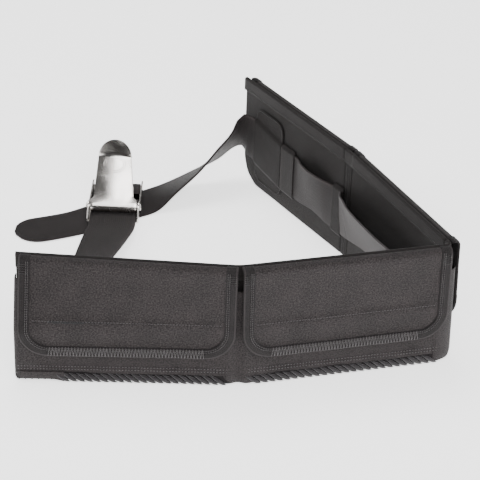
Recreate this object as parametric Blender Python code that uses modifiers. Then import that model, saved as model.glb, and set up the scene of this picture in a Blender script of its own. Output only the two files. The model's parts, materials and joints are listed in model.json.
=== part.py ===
"""Dive weight belt with four flap pockets and a stainless cam buckle.

The belt stands on its lower edge, folded into an open loop as it is laid out to be packed. Each pocket
is a module between two fold lines. In a module X runs along the belt, seen from outside it, -Y points
out, away from the wearer, and Z is up. All sizes are in metres and all angles in degrees.
"""

import math

import bmesh
import bpy
from mathutils import Matrix, Vector

# The belt and its layout
BELT_HEIGHT = 0.124
POCKET_PITCH = 0.200
HEADINGS = (-3.1, 15.1, 115.3, 121.9)
GAP = 0.0003
SEAM_GAP = 0.003
BINDING_GAP = 0.006

# Sheet thicknesses
PANEL = 0.0024
POCKET_WALL = 0.0010
TAPE = 0.0007
TRIM = 0.0010

# The pocket, measured outwards from the wearer's side of the back panel. It leans in towards its top.
POCKET_MARGIN = 0.004
POCKET_DEPTH = 0.0128
POCKET_LEAN = 0.035
POCKET_TOP = 0.103
MESH_HEIGHT = 0.010
TAPE_INSET = 0.028
TAPE_BAND = (0.043, 0.067)
BINDING_DROP = 0.0145

# The flap
FLAP_MARGIN = 0.0006
FLAP_BOTTOM = 0.031
FLAP_CORNER = 0.028
FLAP_THICKNESS = 0.0016
FLAP_TOP_PLATE = 0.0016
EDGE_TAPE_WIDTH = 0.011
EDGE_TAPE_THICKNESS = 0.0024

# The webbing, which is standard 50 mm strap, and what holds it on the wearer's side
WEBBING_WIDTH = 0.050
WEBBING_THICKNESS = 0.0022
WEBBING_HEIGHT = 0.050
WEBBING_OFFSET = 0.0015
WEBBING_ENDS = (0.010, 0.190)
STRAP_SPACING = 0.005
TIP_LENGTH = 0.026
KEEPER_FACE = 0.0041
KEEPER_FOOT = 0.0012
KEEPER_SNUG = 0.004
END_KEEPER = (0.022, 0.078)
END_KEEPER_HEIGHTS = (0.010, 0.100)
STOP_KEEPER = (0.0783, 0.104)
SEAM_KEEPER = (0.003, 0.021)

# The buckle, from its near edge: Y runs along the strap and Z up from the underside
BUCKLE_PLACE = Vector((-0.1384, 0.2780, 0.0060))
FRAME_LENGTH = 0.084
FRAME_INSIDE = 0.0526
FRAME_SHEET = 0.0015
FRAME_WALL = 0.0125
SLOTS = ((0.044, 0.055), (0.060, 0.071))
SLOT_WIDTH = 0.0520
PIN_PLACE = (0.017, 0.0106)
PIN_RADIUS = 0.0020
PIN_HOLE = 0.0023
PIN_HEAD = 0.0036
PIN_HEAD_DEPTH = 0.0016
EAR_RADIUS = 0.0062
LEVER_SHEET = 0.0014
LEVER_ROLL = 0.0053
LEVER_OPEN = 60.0
LEVER_FLAT = 0.0525
LEVER_LIP = 0.0200
LEVER_LIP_RISE = 17.0
LEVER_ROOT_HALF = 0.0247
LEVER_WAIST_HALF = 0.0214
LEVER_LIP_HALF = 0.0178

ARC_STEPS = 8
ROUND_STEPS = 32


def clear_scene():
    for obj in list(bpy.data.objects):
        bpy.data.objects.remove(obj)


def collection(name):
    found = bpy.data.collections.new(name)
    bpy.context.scene.collection.children.link(found)
    return found


def material(name, colour, roughness, metallic=0.0):
    made = bpy.data.materials.new(name)
    made.use_nodes = True
    shader = made.node_tree.nodes["Principled BSDF"]
    shader.inputs["Base Color"].default_value = (*colour, 1.0)
    shader.inputs["Roughness"].default_value = roughness
    shader.inputs["Metallic"].default_value = metallic
    made.diffuse_color = (*colour, 1.0)
    return made


clear_scene()
PARTS = collection("dive_weight_belt")
CUTTERS = collection("cutters")
PACK_CLOTH = material("pack_cloth", (0.040, 0.038, 0.040), 0.75)
LINING = material("lining_cloth", (0.030, 0.028, 0.028), 0.80)
EDGE_TAPE = material("edge_tape", (0.030, 0.029, 0.031), 0.65)
WEBBING = material("webbing", (0.032, 0.029, 0.030), 0.60)
DRAIN_MESH = material("drain_mesh", (0.022, 0.021, 0.024), 0.70)
HOOK_AND_LOOP = material("hook_and_loop", (0.018, 0.018, 0.019), 0.90)
STEEL = material("stainless_steel", (0.620, 0.600, 0.580), 0.22, 1.0)


def empty(name, parent=None, location=(0.0, 0.0, 0.0), turn_z=0.0, turn_x=0.0):
    made = bpy.data.objects.new(name, None)
    PARTS.objects.link(made)
    made.parent = parent
    made.location = location
    made.rotation_euler = (math.radians(turn_x), 0.0, math.radians(turn_z))
    return made


def part(name, mesh, surface, parent, location=(0.0, 0.0, 0.0)):
    made = bpy.data.objects.new(name, mesh)
    mesh.materials.append(surface)
    PARTS.objects.link(made)
    made.parent = parent
    made.location = location
    return made


def cutter(name, mesh, parent):
    made = bpy.data.objects.new(name, mesh)
    CUTTERS.objects.link(made)
    made.parent = parent
    made.hide_render = True
    made.display_type = "WIRE"
    return made


def boolean(obj, tool, operation):
    step = obj.modifiers.new(operation.lower(), "BOOLEAN")
    step.operation = operation
    step.solver = "EXACT"
    step.object = tool


def solidify(obj, thickness, offset):
    step = obj.modifiers.new("thickness", "SOLIDIFY")
    step.thickness = thickness
    step.offset = offset
    step.use_even_offset = True


def block(low, high):
    """A box between two corners."""
    low, high = Vector(low), Vector(high)
    mesh = bpy.data.meshes.new("block")
    shape = bmesh.new()
    to_corners = Matrix.Translation((low + high) / 2) @ Matrix.Diagonal((*(high - low), 1.0))
    bmesh.ops.create_cube(shape, size=1.0, matrix=to_corners)
    shape.to_mesh(mesh)
    shape.free()
    return mesh


def prism(outline, axis, low, high):
    """A flat outline carried along an axis. The outline is in (Y, Z) for X, (X, Z) for Y and (X, Y) for Z."""
    flat = bpy.data.curves.new("outline", "CURVE")
    flat.dimensions = "2D"
    flat.fill_mode = "BOTH"
    flat.extrude = (high - low) / 2
    spline = flat.splines.new("POLY")
    spline.points.add(len(outline) - 1)
    for point, (across, up) in zip(spline.points, outline):
        point.co = (across, up, 0.0, 1.0)
    spline.use_cyclic_u = True
    guide = bpy.data.objects.new("outline", flat)
    bpy.context.scene.collection.objects.link(guide)
    bpy.context.view_layer.update()
    mesh = bpy.data.meshes.new_from_object(guide.evaluated_get(bpy.context.evaluated_depsgraph_get()))
    bpy.data.objects.remove(guide)
    shape = bmesh.new()
    shape.from_mesh(mesh)
    bmesh.ops.remove_doubles(shape, verts=shape.verts, dist=1e-6)
    bmesh.ops.recalc_face_normals(shape, faces=shape.faces)
    shape.to_mesh(mesh)
    shape.free()
    turns = {
        "X": Matrix(((0, 0, 1, 0), (1, 0, 0, 0), (0, 1, 0, 0), (0, 0, 0, 1))),
        "Y": Matrix(((1, 0, 0, 0), (0, 0, -1, 0), (0, 1, 0, 0), (0, 0, 0, 1))),
        "Z": Matrix.Identity(4),
    }
    along = {"X": (1, 0, 0), "Y": (0, 1, 0), "Z": (0, 0, 1)}[axis]
    mesh.transform(Matrix.Translation(Vector(along) * (low + high) / 2) @ turns[axis])
    return mesh


def rod(axis_point, radius, low, high):
    """A round bar along X, centred on the point (Y, Z)."""
    mesh = bpy.data.meshes.new("rod")
    shape = bmesh.new()
    bmesh.ops.create_cone(
        shape,
        cap_ends=True,
        segments=ROUND_STEPS,
        radius1=radius,
        radius2=radius,
        depth=high - low,
        matrix=Matrix.Translation(((low + high) / 2, *axis_point)) @ Matrix.Rotation(math.pi / 2, 4, "Y"),
    )
    shape.to_mesh(mesh)
    shape.free()
    return mesh


def sheet(rows):
    """An open surface through rows of points, each row with the same number of points."""
    mesh = bpy.data.meshes.new("sheet")
    shape = bmesh.new()
    grid = [[shape.verts.new(point) for point in row] for row in rows]
    for first, second in zip(grid, grid[1:]):
        for k in range(len(first) - 1):
            shape.faces.new((first[k], first[k + 1], second[k + 1], second[k]))
    shape.to_mesh(mesh)
    shape.free()
    return mesh


def arc(centre, radius, start, end, steps=ARC_STEPS):
    """Points round a centre, from one angle to another."""
    angles = [math.radians(start + (end - start) * k / steps) for k in range(steps + 1)]
    return [(centre[0] + radius * math.cos(a), centre[1] + radius * math.sin(a)) for a in angles]


# Pockets


def tongue_shape(left, right, bottom, top, corner):
    """An outline with square top corners and round bottom corners, from the top left round to the top right."""
    return [
        (left, top),
        *arc((left + corner, bottom + corner), corner, 180, 270),
        *arc((right - corner, bottom + corner), corner, 270, 360),
        (right, top),
    ]


def pocket_depth(height):
    return POCKET_DEPTH - POCKET_LEAN * height


def leaning(mesh):
    """The mesh sheared to the pocket's lean about its own zero height."""
    mesh.transform(Matrix(((1, 0, 0, 0), (0, 1, POCKET_LEAN, 0), (0, 0, 1, 0), (0, 0, 0, 1))))
    return mesh


def back_panel(name, module):
    low = (SEAM_GAP / 2, -PANEL, 0.0)
    high = (POCKET_PITCH - SEAM_GAP / 2, 0.0, panel_top())
    return part(name, block(low, high), LINING, module)


def panel_top():
    return BELT_HEIGHT - TRIM - GAP


def top_binding(name, module):
    """The tape folded over the back panel's top edge."""
    inner, outer = GAP + TRIM, -PANEL - GAP - TRIM
    low, top = panel_top() - BINDING_DROP, panel_top() + GAP + TRIM
    outline = [
        (outer, low),
        (outer, top),
        (inner, top),
        (inner, low),
        (inner - TRIM, low),
        (inner - TRIM, top - TRIM),
        (outer + TRIM, top - TRIM),
        (outer + TRIM, low),
    ]
    return part(name, prism(outline, "X", BINDING_GAP / 2, POCKET_PITCH - BINDING_GAP / 2), EDGE_TAPE, module)


def pocket_front(name, module):
    """The pocket's outer wall and its two sides, open at the top and bottom."""
    left, right = POCKET_MARGIN, POCKET_PITCH - POCKET_MARGIN
    low, high = MESH_HEIGHT + GAP, POCKET_TOP
    back, wall, beyond = -PANEL - GAP, POCKET_WALL, 0.002
    outside = [(back, low), (back, high), (-pocket_depth(high), high), (-pocket_depth(low), low)]
    made = part(name, prism(outside, "X", left, right), PACK_CLOTH, module)
    inside = [
        (back + beyond, low - beyond),
        (back + beyond, high + beyond),
        (wall - pocket_depth(high + beyond), high + beyond),
        (wall - pocket_depth(low - beyond), low - beyond),
    ]
    hollow = prism(inside, "X", left + wall, right - wall)
    boolean(made, cutter(name + "_inside", hollow, module), "DIFFERENCE")
    return made


def drain_mesh(name, module):
    """The tray of coarse net that closes the pocket's bottom and lets water out."""
    low = (POCKET_MARGIN, -POCKET_DEPTH, 0.0)
    high = (POCKET_PITCH - POCKET_MARGIN, -PANEL - GAP, MESH_HEIGHT)
    mesh = block(low, high)
    shape = bmesh.new()
    shape.from_mesh(mesh)
    open_sides = [f for f in shape.faces if f.normal.z > 0.5 or f.normal.y > 0.5]
    bmesh.ops.delete(shape, geom=open_sides, context="FACES")
    shape.to_mesh(mesh)
    shape.free()
    tray = part(name, mesh, DRAIN_MESH, module)
    solidify(tray, POCKET_WALL, -1.0)
    return tray


def loop_tape(name, module):
    low = (TAPE_INSET, -POCKET_DEPTH - GAP - TAPE, TAPE_BAND[0])
    high = (POCKET_PITCH - TAPE_INSET, -POCKET_DEPTH - GAP, TAPE_BAND[1])
    return part(name, leaning(block(low, high)), HOOK_AND_LOOP, module)


# The flap's parts are measured from its hinge line, along the outer edge of the top binding.


def hinge_offset():
    return -(PANEL + 2 * GAP + TRIM)


def flap_centre():
    return -(pocket_depth(BELT_HEIGHT) + 3 * GAP + 2 * TAPE + FLAP_THICKNESS / 2) - hinge_offset()


def flap(name, hinge):
    left, right = FLAP_MARGIN, POCKET_PITCH - FLAP_MARGIN
    inset = EDGE_TAPE_WIDTH + GAP
    bottom, top = FLAP_BOTTOM - BELT_HEIGHT, -FLAP_TOP_PLATE / 2
    outline = tongue_shape(left + inset, right - inset, bottom + inset, top, FLAP_CORNER - inset)
    half = FLAP_THICKNESS / 2
    hanging = leaning(prism(outline, "Y", flap_centre() - half, flap_centre() + half))
    made = part(name, hanging, PACK_CLOTH, hinge)
    plate = block((left, flap_centre() - half - GAP, -FLAP_TOP_PLATE), (right, 0.0, 0.0))
    boolean(made, cutter(name + "_top", plate, hinge), "UNION")
    return made


def flap_edge_tape(name, hinge):
    """The tape folded round the flap's free edge."""
    left, right = FLAP_MARGIN, POCKET_PITCH - FLAP_MARGIN
    bottom, top = FLAP_BOTTOM - BELT_HEIGHT, -FLAP_TOP_PLATE - GAP
    width, corner = EDGE_TAPE_WIDTH, FLAP_CORNER
    outer = tongue_shape(left, right, bottom, top, corner)
    inner = tongue_shape(left + width, right - width, bottom + width, top, corner - width)
    outline = outer + inner[::-1]
    half = EDGE_TAPE_THICKNESS / 2
    hanging = leaning(prism(outline, "Y", flap_centre() - half, flap_centre() + half))
    return part(name, hanging, EDGE_TAPE, hinge)


def hook_tape(name, hinge):
    back = flap_centre() + FLAP_THICKNESS / 2 + GAP
    low = (TAPE_INSET, back, TAPE_BAND[0] - BELT_HEIGHT)
    high = (POCKET_PITCH - TAPE_INSET, back + TAPE, TAPE_BAND[1] - BELT_HEIGHT)
    return part(name, leaning(block(low, high)), HOOK_AND_LOOP, hinge)


def keeper(name, module, start, end, bottom, top):
    """A loop of webbing sewn to the back panel above and below the strap that it holds."""
    outline = [
        (GAP, bottom),
        (KEEPER_FACE, bottom),
        (KEEPER_FACE, top),
        (GAP, top),
        (GAP, top - KEEPER_FOOT),
        (KEEPER_FACE - TRIM, top - KEEPER_FOOT),
        (KEEPER_FACE - TRIM, bottom + KEEPER_FOOT),
        (GAP, bottom + KEEPER_FOOT),
    ]
    return part(name, prism(outline, "X", start, end), EDGE_TAPE, module)


# Webbing: a route is a list of (place, lean), where lean turns the strap's width from upright


def smooth(route, spacing):
    """Points on a centripetal Catmull-Rom curve through the route, at about an even spacing."""
    places = [Vector((*place, math.radians(lean))) for place, lean in route]
    places = [2 * places[0] - places[1], *places, 2 * places[-1] - places[-2]]

    def gap(a, b):
        return math.sqrt(max((b.xyz - a.xyz).length, 1e-6))

    made = []
    for a, b, c, d in zip(places, places[1:], places[2:], places[3:]):
        t0, t1 = 0.0, gap(a, b)
        t2 = t1 + gap(b, c)
        t3 = t2 + gap(c, d)
        steps = max(1, round((c.xyz - b.xyz).length / spacing))
        for k in range(steps):
            t = t1 + (t2 - t1) * k / steps
            a1 = a * ((t1 - t) / (t1 - t0)) + b * ((t - t0) / (t1 - t0))
            a2 = b * ((t2 - t) / (t2 - t1)) + c * ((t - t1) / (t2 - t1))
            a3 = c * ((t3 - t) / (t3 - t2)) + d * ((t - t2) / (t3 - t2))
            b1 = a1 * ((t2 - t) / (t2 - t0)) + a2 * ((t - t0) / (t2 - t0))
            b2 = a2 * ((t3 - t) / (t3 - t1)) + a3 * ((t - t1) / (t3 - t1))
            made.append(b1 * ((t2 - t) / (t2 - t1)) + b2 * ((t - t1) / (t2 - t1)))
    made.append(places[-2])
    return made


def ribbon(route, spacing, tip_length=0.0):
    """A strap's middle surface along a route. A strap with a tip narrows to a round end."""
    points = smooth(route, spacing)
    places = [p.xyz for p in points]
    remaining = [0.0]
    for first, second in zip(places[::-1], places[-2::-1]):
        remaining.append(remaining[-1] + (second - first).length)
    remaining.reverse()
    rows = []
    for k, point in enumerate(points):
        along = (places[min(k + 1, len(places) - 1)] - places[max(k - 1, 0)]).normalized()
        level = along.cross(Vector((0, 0, 1)))
        level = level.normalized() if level.length > 1e-6 else Vector((1, 0, 0))
        upright = level.cross(along).normalized()
        across = upright * math.cos(point.w) + level * math.sin(point.w)
        half = WEBBING_WIDTH / 2
        if remaining[k] < tip_length:
            share = 1.0 - remaining[k] / tip_length
            half *= max(0.16, math.sqrt(max(0.0, 1.0 - share * share)))
        rows.append([places[k] - across * half, places[k] + across * half])
    return rows


def strap(name, route, parent, tip_length=0.0):
    made = part(name, sheet(ribbon(route, STRAP_SPACING, tip_length)), WEBBING, parent)
    solidify(made, WEBBING_THICKNESS, 0.0)
    return made


# Buckle


def buckle_frame(name, place):
    """A sheet-steel channel, cut to its side outline, with two slots for the strap that it hangs on."""
    inside, outside = FRAME_INSIDE / 2, FRAME_INSIDE / 2 + FRAME_SHEET
    top = PIN_PLACE[1] + EAR_RADIUS
    channel = [
        (-outside, 0.0),
        (outside, 0.0),
        (outside, top),
        (inside, top),
        (inside, FRAME_SHEET),
        (-inside, FRAME_SHEET),
        (-inside, top),
        (-outside, top),
    ]
    made = part(name, prism(channel, "Y", 0.0, FRAME_LENGTH), STEEL, place)
    nose, tail = 0.006, 0.008
    beyond = 0.002
    side = [
        (-beyond, -beyond),
        (-beyond, nose - 0.002),
        (0.0, nose - 0.001),
        (nose, FRAME_WALL - 0.003),
        *arc(PIN_PLACE, EAR_RADIUS - 0.0004, 160, 30),
        (PIN_PLACE[0] + 0.012, FRAME_WALL - 0.002),
        *arc((FRAME_LENGTH - tail, FRAME_WALL - 0.002 - tail), tail, 90, 0),
        (FRAME_LENGTH, FRAME_SHEET + 0.001),
        (FRAME_LENGTH + beyond, FRAME_SHEET),
        (FRAME_LENGTH + beyond, -beyond),
    ]
    reach = outside + beyond
    boolean(made, cutter(name + "_side_outline", prism(side, "X", -reach, reach), place), "INTERSECT")
    for k, (start, end) in enumerate(SLOTS):
        half = SLOT_WIDTH / 2
        slot = block((-half, start, -beyond), (half, end, FRAME_SHEET + 0.0002))
        boolean(made, cutter(f"{name}_slot_{k + 1}", slot, place), "DIFFERENCE")
    boolean(made, cutter(name + "_pin_hole", rod(PIN_PLACE, PIN_HOLE, -reach, reach), place), "DIFFERENCE")
    return made


def buckle_pin(name, place):
    """A pin with a round head outside each ear, turned from its profile."""
    ear = FRAME_INSIDE / 2 + FRAME_SHEET
    head_low, head_high = ear + GAP, ear + GAP + PIN_HEAD_DEPTH
    profile = [
        (0.0, head_high),
        (PIN_HEAD - 0.0006, head_high),
        (PIN_HEAD, head_high - 0.0006),
        (PIN_HEAD, head_low),
        (PIN_RADIUS, head_low),
        (PIN_RADIUS, -head_low),
        (PIN_HEAD, -head_low),
        (PIN_HEAD, -head_high + 0.0006),
        (PIN_HEAD - 0.0006, -head_high),
        (0.0, -head_high),
    ]
    mesh = bpy.data.meshes.new("pin_profile")
    shape = bmesh.new()
    corners = [shape.verts.new((radius, 0.0, height)) for radius, height in profile]
    for first, second in zip(corners, corners[1:]):
        shape.edges.new((first, second))
    shape.to_mesh(mesh)
    shape.free()
    made = part(name, mesh, STEEL, place, (0.0, *PIN_PLACE))
    made.rotation_euler = (0.0, math.radians(90), 0.0)
    turn = made.modifiers.new("turned", "SCREW")
    turn.steps = turn.render_steps = ROUND_STEPS
    turn.use_merge_vertices = True
    turn.merge_threshold = 0.00001
    return made


def lever_rows():
    """The lever's middle surface, measured from the pin with the lever closed: cam, roll, flat, lip."""
    rows = []
    for y, z in arc((0.0, 0.0), LEVER_ROLL, -70, -270, 14):
        rows.append((y, z, LEVER_ROOT_HALF))
    fall = math.radians(-3.0)
    y, z = rows[-1][0], rows[-1][1]
    shoulder = 0.009
    for distance in (0.004, 0.0075, shoulder, 0.025, 0.040, LEVER_FLAT):
        if distance < shoulder:
            half = LEVER_ROOT_HALF
        else:
            share = (distance - shoulder) / (LEVER_FLAT - shoulder)
            half = LEVER_WAIST_HALF + (LEVER_LIP_HALF - LEVER_WAIST_HALF) * share
        rows.append((y + distance * math.cos(fall), z + distance * math.sin(fall), half))
    y, z = rows[-1][0], rows[-1][1]
    rise = math.radians(LEVER_LIP_RISE)
    for k in range(1, 11):
        share = math.sin(math.radians(90 * k / 10))
        half = LEVER_LIP_HALF * math.sqrt(max(0.012, 1.0 - share * share))
        bend = rise * min(1.0, 3.0 * k / 10)
        rows.append((y + LEVER_LIP * share * math.cos(bend), z + LEVER_LIP * share * math.sin(bend), half))
    return [[Vector((half * t / 2, y, z)) for t in (-2, -1, 0, 1, 2)] for y, z, half in rows]


def buckle_lever(name, pivot):
    """The cam lever: one bent sheet, with a cheek at each end of its roll for the pin."""
    made = part(name, sheet(lever_rows()), STEEL, pivot)
    solidify(made, LEVER_SHEET, 0.0)
    for side, low in (("left", -LEVER_ROOT_HALF - GAP), ("right", LEVER_ROOT_HALF - LEVER_SHEET)):
        cheek = rod((0.0, 0.0), EAR_RADIUS, low, low + LEVER_SHEET + GAP)
        boolean(made, cutter(f"{name}_{side}_cheek", cheek, pivot), "UNION")
    hole = rod((0.0, 0.0), PIN_HOLE, -FRAME_INSIDE, FRAME_INSIDE)
    boolean(made, cutter(name + "_pin_hole", hole, pivot), "DIFFERENCE")
    return made


# Assembly


def fold_points():
    """Where the belt folds, from the buckle's end to the free end, in plan."""
    turns = [math.radians(heading) for heading in HEADINGS]
    steps = [Vector((math.cos(turn), math.sin(turn), 0.0)) * POCKET_PITCH for turn in turns]
    points = [-steps[0], Vector((0, 0, 0))]
    for step in steps[1:]:
        points.append(points[-1] + step)
    return points


def build_pocket(number, belt, place):
    module = empty(f"pocket_{number}_module", belt, place, HEADINGS[number - 1])
    label = f"pocket_{number}_"
    back_panel(label + "back_panel", module)
    top_binding(label + "top_binding", module)
    pocket_front(label + "front_panel", module)
    drain_mesh(label + "drain_mesh", module)
    loop_tape(label + "loop_tape", module)
    hinge = empty(label + "flap_hinge", module, (0.0, hinge_offset(), BELT_HEIGHT))
    flap(label + "flap", hinge)
    flap_edge_tape(label + "flap_edge_tape", hinge)
    hook_tape(label + "hook_tape", hinge)
    return module


def build_keepers(modules):
    """A wide loop and a narrow one at each end of the pocket run, and a narrow one after each fold."""
    low = WEBBING_HEIGHT - WEBBING_WIDTH / 2 - KEEPER_SNUG
    high = WEBBING_HEIGHT + WEBBING_WIDTH / 2 + KEEPER_SNUG
    outer, inner = END_KEEPER
    stop_outer, stop_inner = STOP_KEEPER
    first, last = modules[0], modules[3]
    keeper("end_keeper_1", first, outer, inner, *END_KEEPER_HEIGHTS)
    keeper("stop_keeper_1", first, stop_outer, stop_inner, low, high)
    keeper("end_keeper_4", last, POCKET_PITCH - inner, POCKET_PITCH - outer, *END_KEEPER_HEIGHTS)
    keeper("stop_keeper_4", last, POCKET_PITCH - stop_inner, POCKET_PITCH - stop_outer, low, high)
    for number in (2, 3, 4):
        keeper(f"seam_keeper_{number}", modules[number - 1], *SEAM_KEEPER, low, high)


def on_panel(module, route):
    """A route given in a module, as (along, inward, height, lean)."""
    return [(module.matrix_local @ Vector(step[:3]), step[3]) for step in route]


def on_belt(route):
    """A route given from the belt's first fold, as (x, y, height, lean)."""
    return [(Vector(step[:3]), step[3]) for step in route]


def frame_route(place):
    """The strap's way through the buckle frame: along the plate, down one slot, under the bar and back up."""
    on_plate = FRAME_SHEET + GAP + WEBBING_THICKNESS / 2
    under_bar = -GAP - WEBBING_THICKNESS / 2
    ease = 0.0002
    (first_start, first_end), (second_start, second_end) = SLOTS
    route = [
        (-0.012, on_plate),
        (0.004, on_plate),
        (0.022, on_plate),
        (first_start - 0.002, on_plate),
        (first_start + 0.002, on_plate - ease),
        (first_end - 0.001, under_bar + ease),
        (second_start + 0.001, under_bar + ease),
        (second_end - 0.002, on_plate - ease),
        (second_end + 0.002, on_plate),
        (FRAME_LENGTH - 0.001, on_plate),
    ]
    return [(place.matrix_local @ Vector((0.0, y, z)), 90.0) for y, z in route]


def build_webbing(belt, modules, frame_place):
    """The strap, in one length for each pocket, with its ends going to the buckle and to the free tip."""
    bpy.context.view_layer.update()
    start, end = WEBBING_ENDS
    inward, height = WEBBING_OFFSET, WEBBING_HEIGHT
    on_first = [
        (end, inward, height, 0.0),
        (0.110, inward, height, 0.0),
        (0.028, inward, height, 0.0),
        (0.022, inward, height, 0.0),
        (0.0150, 0.0028, height, 0.0),
        (0.0105, 0.0070, 0.0495, 0.0),
        (0.0090, 0.0160, 0.0475, 2.0),
    ]
    to_buckle = [
        (-0.1840, 0.052, 0.0385, 13.0),
        (-0.1745, 0.087, 0.0290, 30.0),
        (-0.1640, 0.125, 0.0215, 46.0),
        (-0.1535, 0.165, 0.0155, 61.0),
        (-0.1480, 0.205, 0.0115, 74.0),
        (-0.1430, 0.240, 0.0090, 84.0),
    ]
    route = on_panel(modules[0], on_first) + on_belt(to_buckle) + frame_route(frame_place)
    strap("webbing_1", route, belt)

    on_second = [
        (start, inward, height, 0.0),
        (0.026, 0.0017, height, 0.0),
        (0.060, 0.0040, 0.0510, -4.0),
        (0.100, 0.0052, 0.0515, -6.0),
        (0.140, 0.0040, 0.0510, -4.0),
        (0.174, 0.0017, height, 0.0),
        (end, inward, height, 0.0),
    ]
    strap("webbing_2", on_panel(modules[1], on_second), belt)

    on_third = [
        (start, inward, height, 0.0),
        (0.026, 0.0018, height, 0.0),
        (0.060, 0.0088, 0.0540, -14.0),
        (0.095, 0.0122, 0.0570, -21.0),
        (0.130, 0.0130, 0.0590, -23.0),
        (0.160, 0.0120, 0.0580, -20.0),
        (0.180, 0.0088, 0.0550, -14.0),
        (end, 0.0072, 0.0530, -11.0),
    ]
    strap("webbing_3", on_panel(modules[2], on_third), belt)

    on_fourth = [
        (start, inward, height, 0.0),
        (0.024, 0.0018, height, 0.0),
        (0.040, 0.0050, 0.0520, -7.0),
        (0.058, 0.0066, 0.0530, -10.0),
        (0.076, 0.0046, 0.0515, -6.0),
        (0.090, 0.0018, height, 0.0),
        (0.100, inward, height, 0.0),
        (0.120, inward, height, 0.0),
        (0.150, inward, 0.0540, 0.0),
        (0.178, inward, 0.0580, 0.0),
        (0.186, 0.0023, 0.0592, 0.0),
        (0.194, 0.0046, 0.0600, -5.0),
        (0.1968, 0.0096, 0.0591, -25.0),
    ]
    to_tip = [
        (-0.0281, 0.3796, 0.0420, -41.4),
        (-0.0558, 0.3629, 0.0245, -60.0),
        (-0.0830, 0.3475, 0.0110, -73.5),
        (-0.1045, 0.3345, 0.0024, -88.0),
        (-0.1270, 0.3190, 0.0015, -90.0),
        (-0.1520, 0.302, 0.0015, -90.0),
        (-0.1760, 0.284, 0.0015, -90.0),
        (-0.2060, 0.269, 0.0016, -90.5),
        (-0.2400, 0.256, 0.0017, -91.0),
    ]
    strap("webbing_4", on_panel(modules[3], on_fourth) + on_belt(to_tip), belt, TIP_LENGTH)


def build_buckle(belt):
    place = empty("buckle_place", belt, BUCKLE_PLACE)
    buckle_frame("buckle_frame", place)
    buckle_pin("buckle_pin", place)
    pivot = empty("buckle_lever_pivot", place, (0.0, *PIN_PLACE), turn_x=LEVER_OPEN)
    buckle_lever("buckle_lever", pivot)
    return place


def stand_on_origin(belt):
    """Moves the whole belt so that the bottom centre of its bounding box is the origin."""
    bpy.context.view_layer.update()
    graph = bpy.context.evaluated_depsgraph_get()
    corners = []
    for obj in PARTS.objects:
        if obj.type == "MESH":
            shown = obj.evaluated_get(graph)
            corners += [shown.matrix_world @ v.co for v in shown.data.vertices]
    low = Vector([min(c[k] for c in corners) for k in range(3)])
    high = Vector([max(c[k] for c in corners) for k in range(3)])
    belt.location = (-(low.x + high.x) / 2, -(low.y + high.y) / 2, -low.z)


def shade_round_parts():
    for obj in PARTS.objects:
        if obj.type == "MESH" and obj.name.startswith("buckle"):
            obj.data.shade_smooth()
            obj.data.set_sharp_from_angle(angle=math.radians(30))


def main():
    belt = empty("belt")
    modules = [build_pocket(k + 1, belt, place) for k, place in enumerate(fold_points()[:4])]
    build_keepers(modules)
    frame_place = build_buckle(belt)
    build_webbing(belt, modules, frame_place)
    stand_on_origin(belt)
    shade_round_parts()


main()
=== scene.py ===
"""The looks of a dive weight belt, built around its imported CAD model.

Each pocket is drawn in module coordinates: X along the pocket as seen from outside, with the folds at
X = 0 and X = PITCH, -Y outwards from the wearer and Z up. All sizes are in metres.
"""

import json
import math

import bmesh
import bpy
from mathutils import Matrix, Vector, noise

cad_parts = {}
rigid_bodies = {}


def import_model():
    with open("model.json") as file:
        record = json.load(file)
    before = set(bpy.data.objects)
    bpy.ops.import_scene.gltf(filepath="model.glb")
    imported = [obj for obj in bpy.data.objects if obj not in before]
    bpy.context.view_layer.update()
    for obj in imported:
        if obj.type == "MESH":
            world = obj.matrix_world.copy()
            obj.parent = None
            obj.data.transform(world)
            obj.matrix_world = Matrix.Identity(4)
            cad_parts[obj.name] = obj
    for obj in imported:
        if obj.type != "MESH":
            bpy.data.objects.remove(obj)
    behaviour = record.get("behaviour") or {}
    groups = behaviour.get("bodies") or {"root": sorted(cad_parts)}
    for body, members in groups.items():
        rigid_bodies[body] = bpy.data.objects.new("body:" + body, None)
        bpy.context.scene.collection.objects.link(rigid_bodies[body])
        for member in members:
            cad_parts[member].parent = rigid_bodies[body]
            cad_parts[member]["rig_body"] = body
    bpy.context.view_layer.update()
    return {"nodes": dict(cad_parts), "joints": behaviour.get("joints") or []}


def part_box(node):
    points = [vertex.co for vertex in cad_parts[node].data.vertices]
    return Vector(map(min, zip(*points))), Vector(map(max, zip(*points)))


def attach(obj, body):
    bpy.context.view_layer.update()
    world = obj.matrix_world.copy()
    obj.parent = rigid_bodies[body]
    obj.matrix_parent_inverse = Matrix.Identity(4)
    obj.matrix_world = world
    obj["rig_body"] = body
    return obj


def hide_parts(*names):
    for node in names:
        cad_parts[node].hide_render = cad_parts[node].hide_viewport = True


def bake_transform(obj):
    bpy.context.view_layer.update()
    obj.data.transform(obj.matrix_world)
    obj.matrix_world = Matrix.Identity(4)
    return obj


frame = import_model()
SCENE = bpy.context.scene

UP = Vector((0.0, 0.0, 1.0))
PITCH = 0.200
HEIGHT = 0.124
PANEL = 0.0024
POCKET_DEPTH = 0.0128
POCKET_LEAN = 0.035
POCKET_MARGIN = 0.004
POCKET_TOP = 0.103
POCKET_FOOT = 0.0103
BAG_SIDE = 12
MOST_SWELL = 0.0011
HINGE_Y = -0.0040

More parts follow.
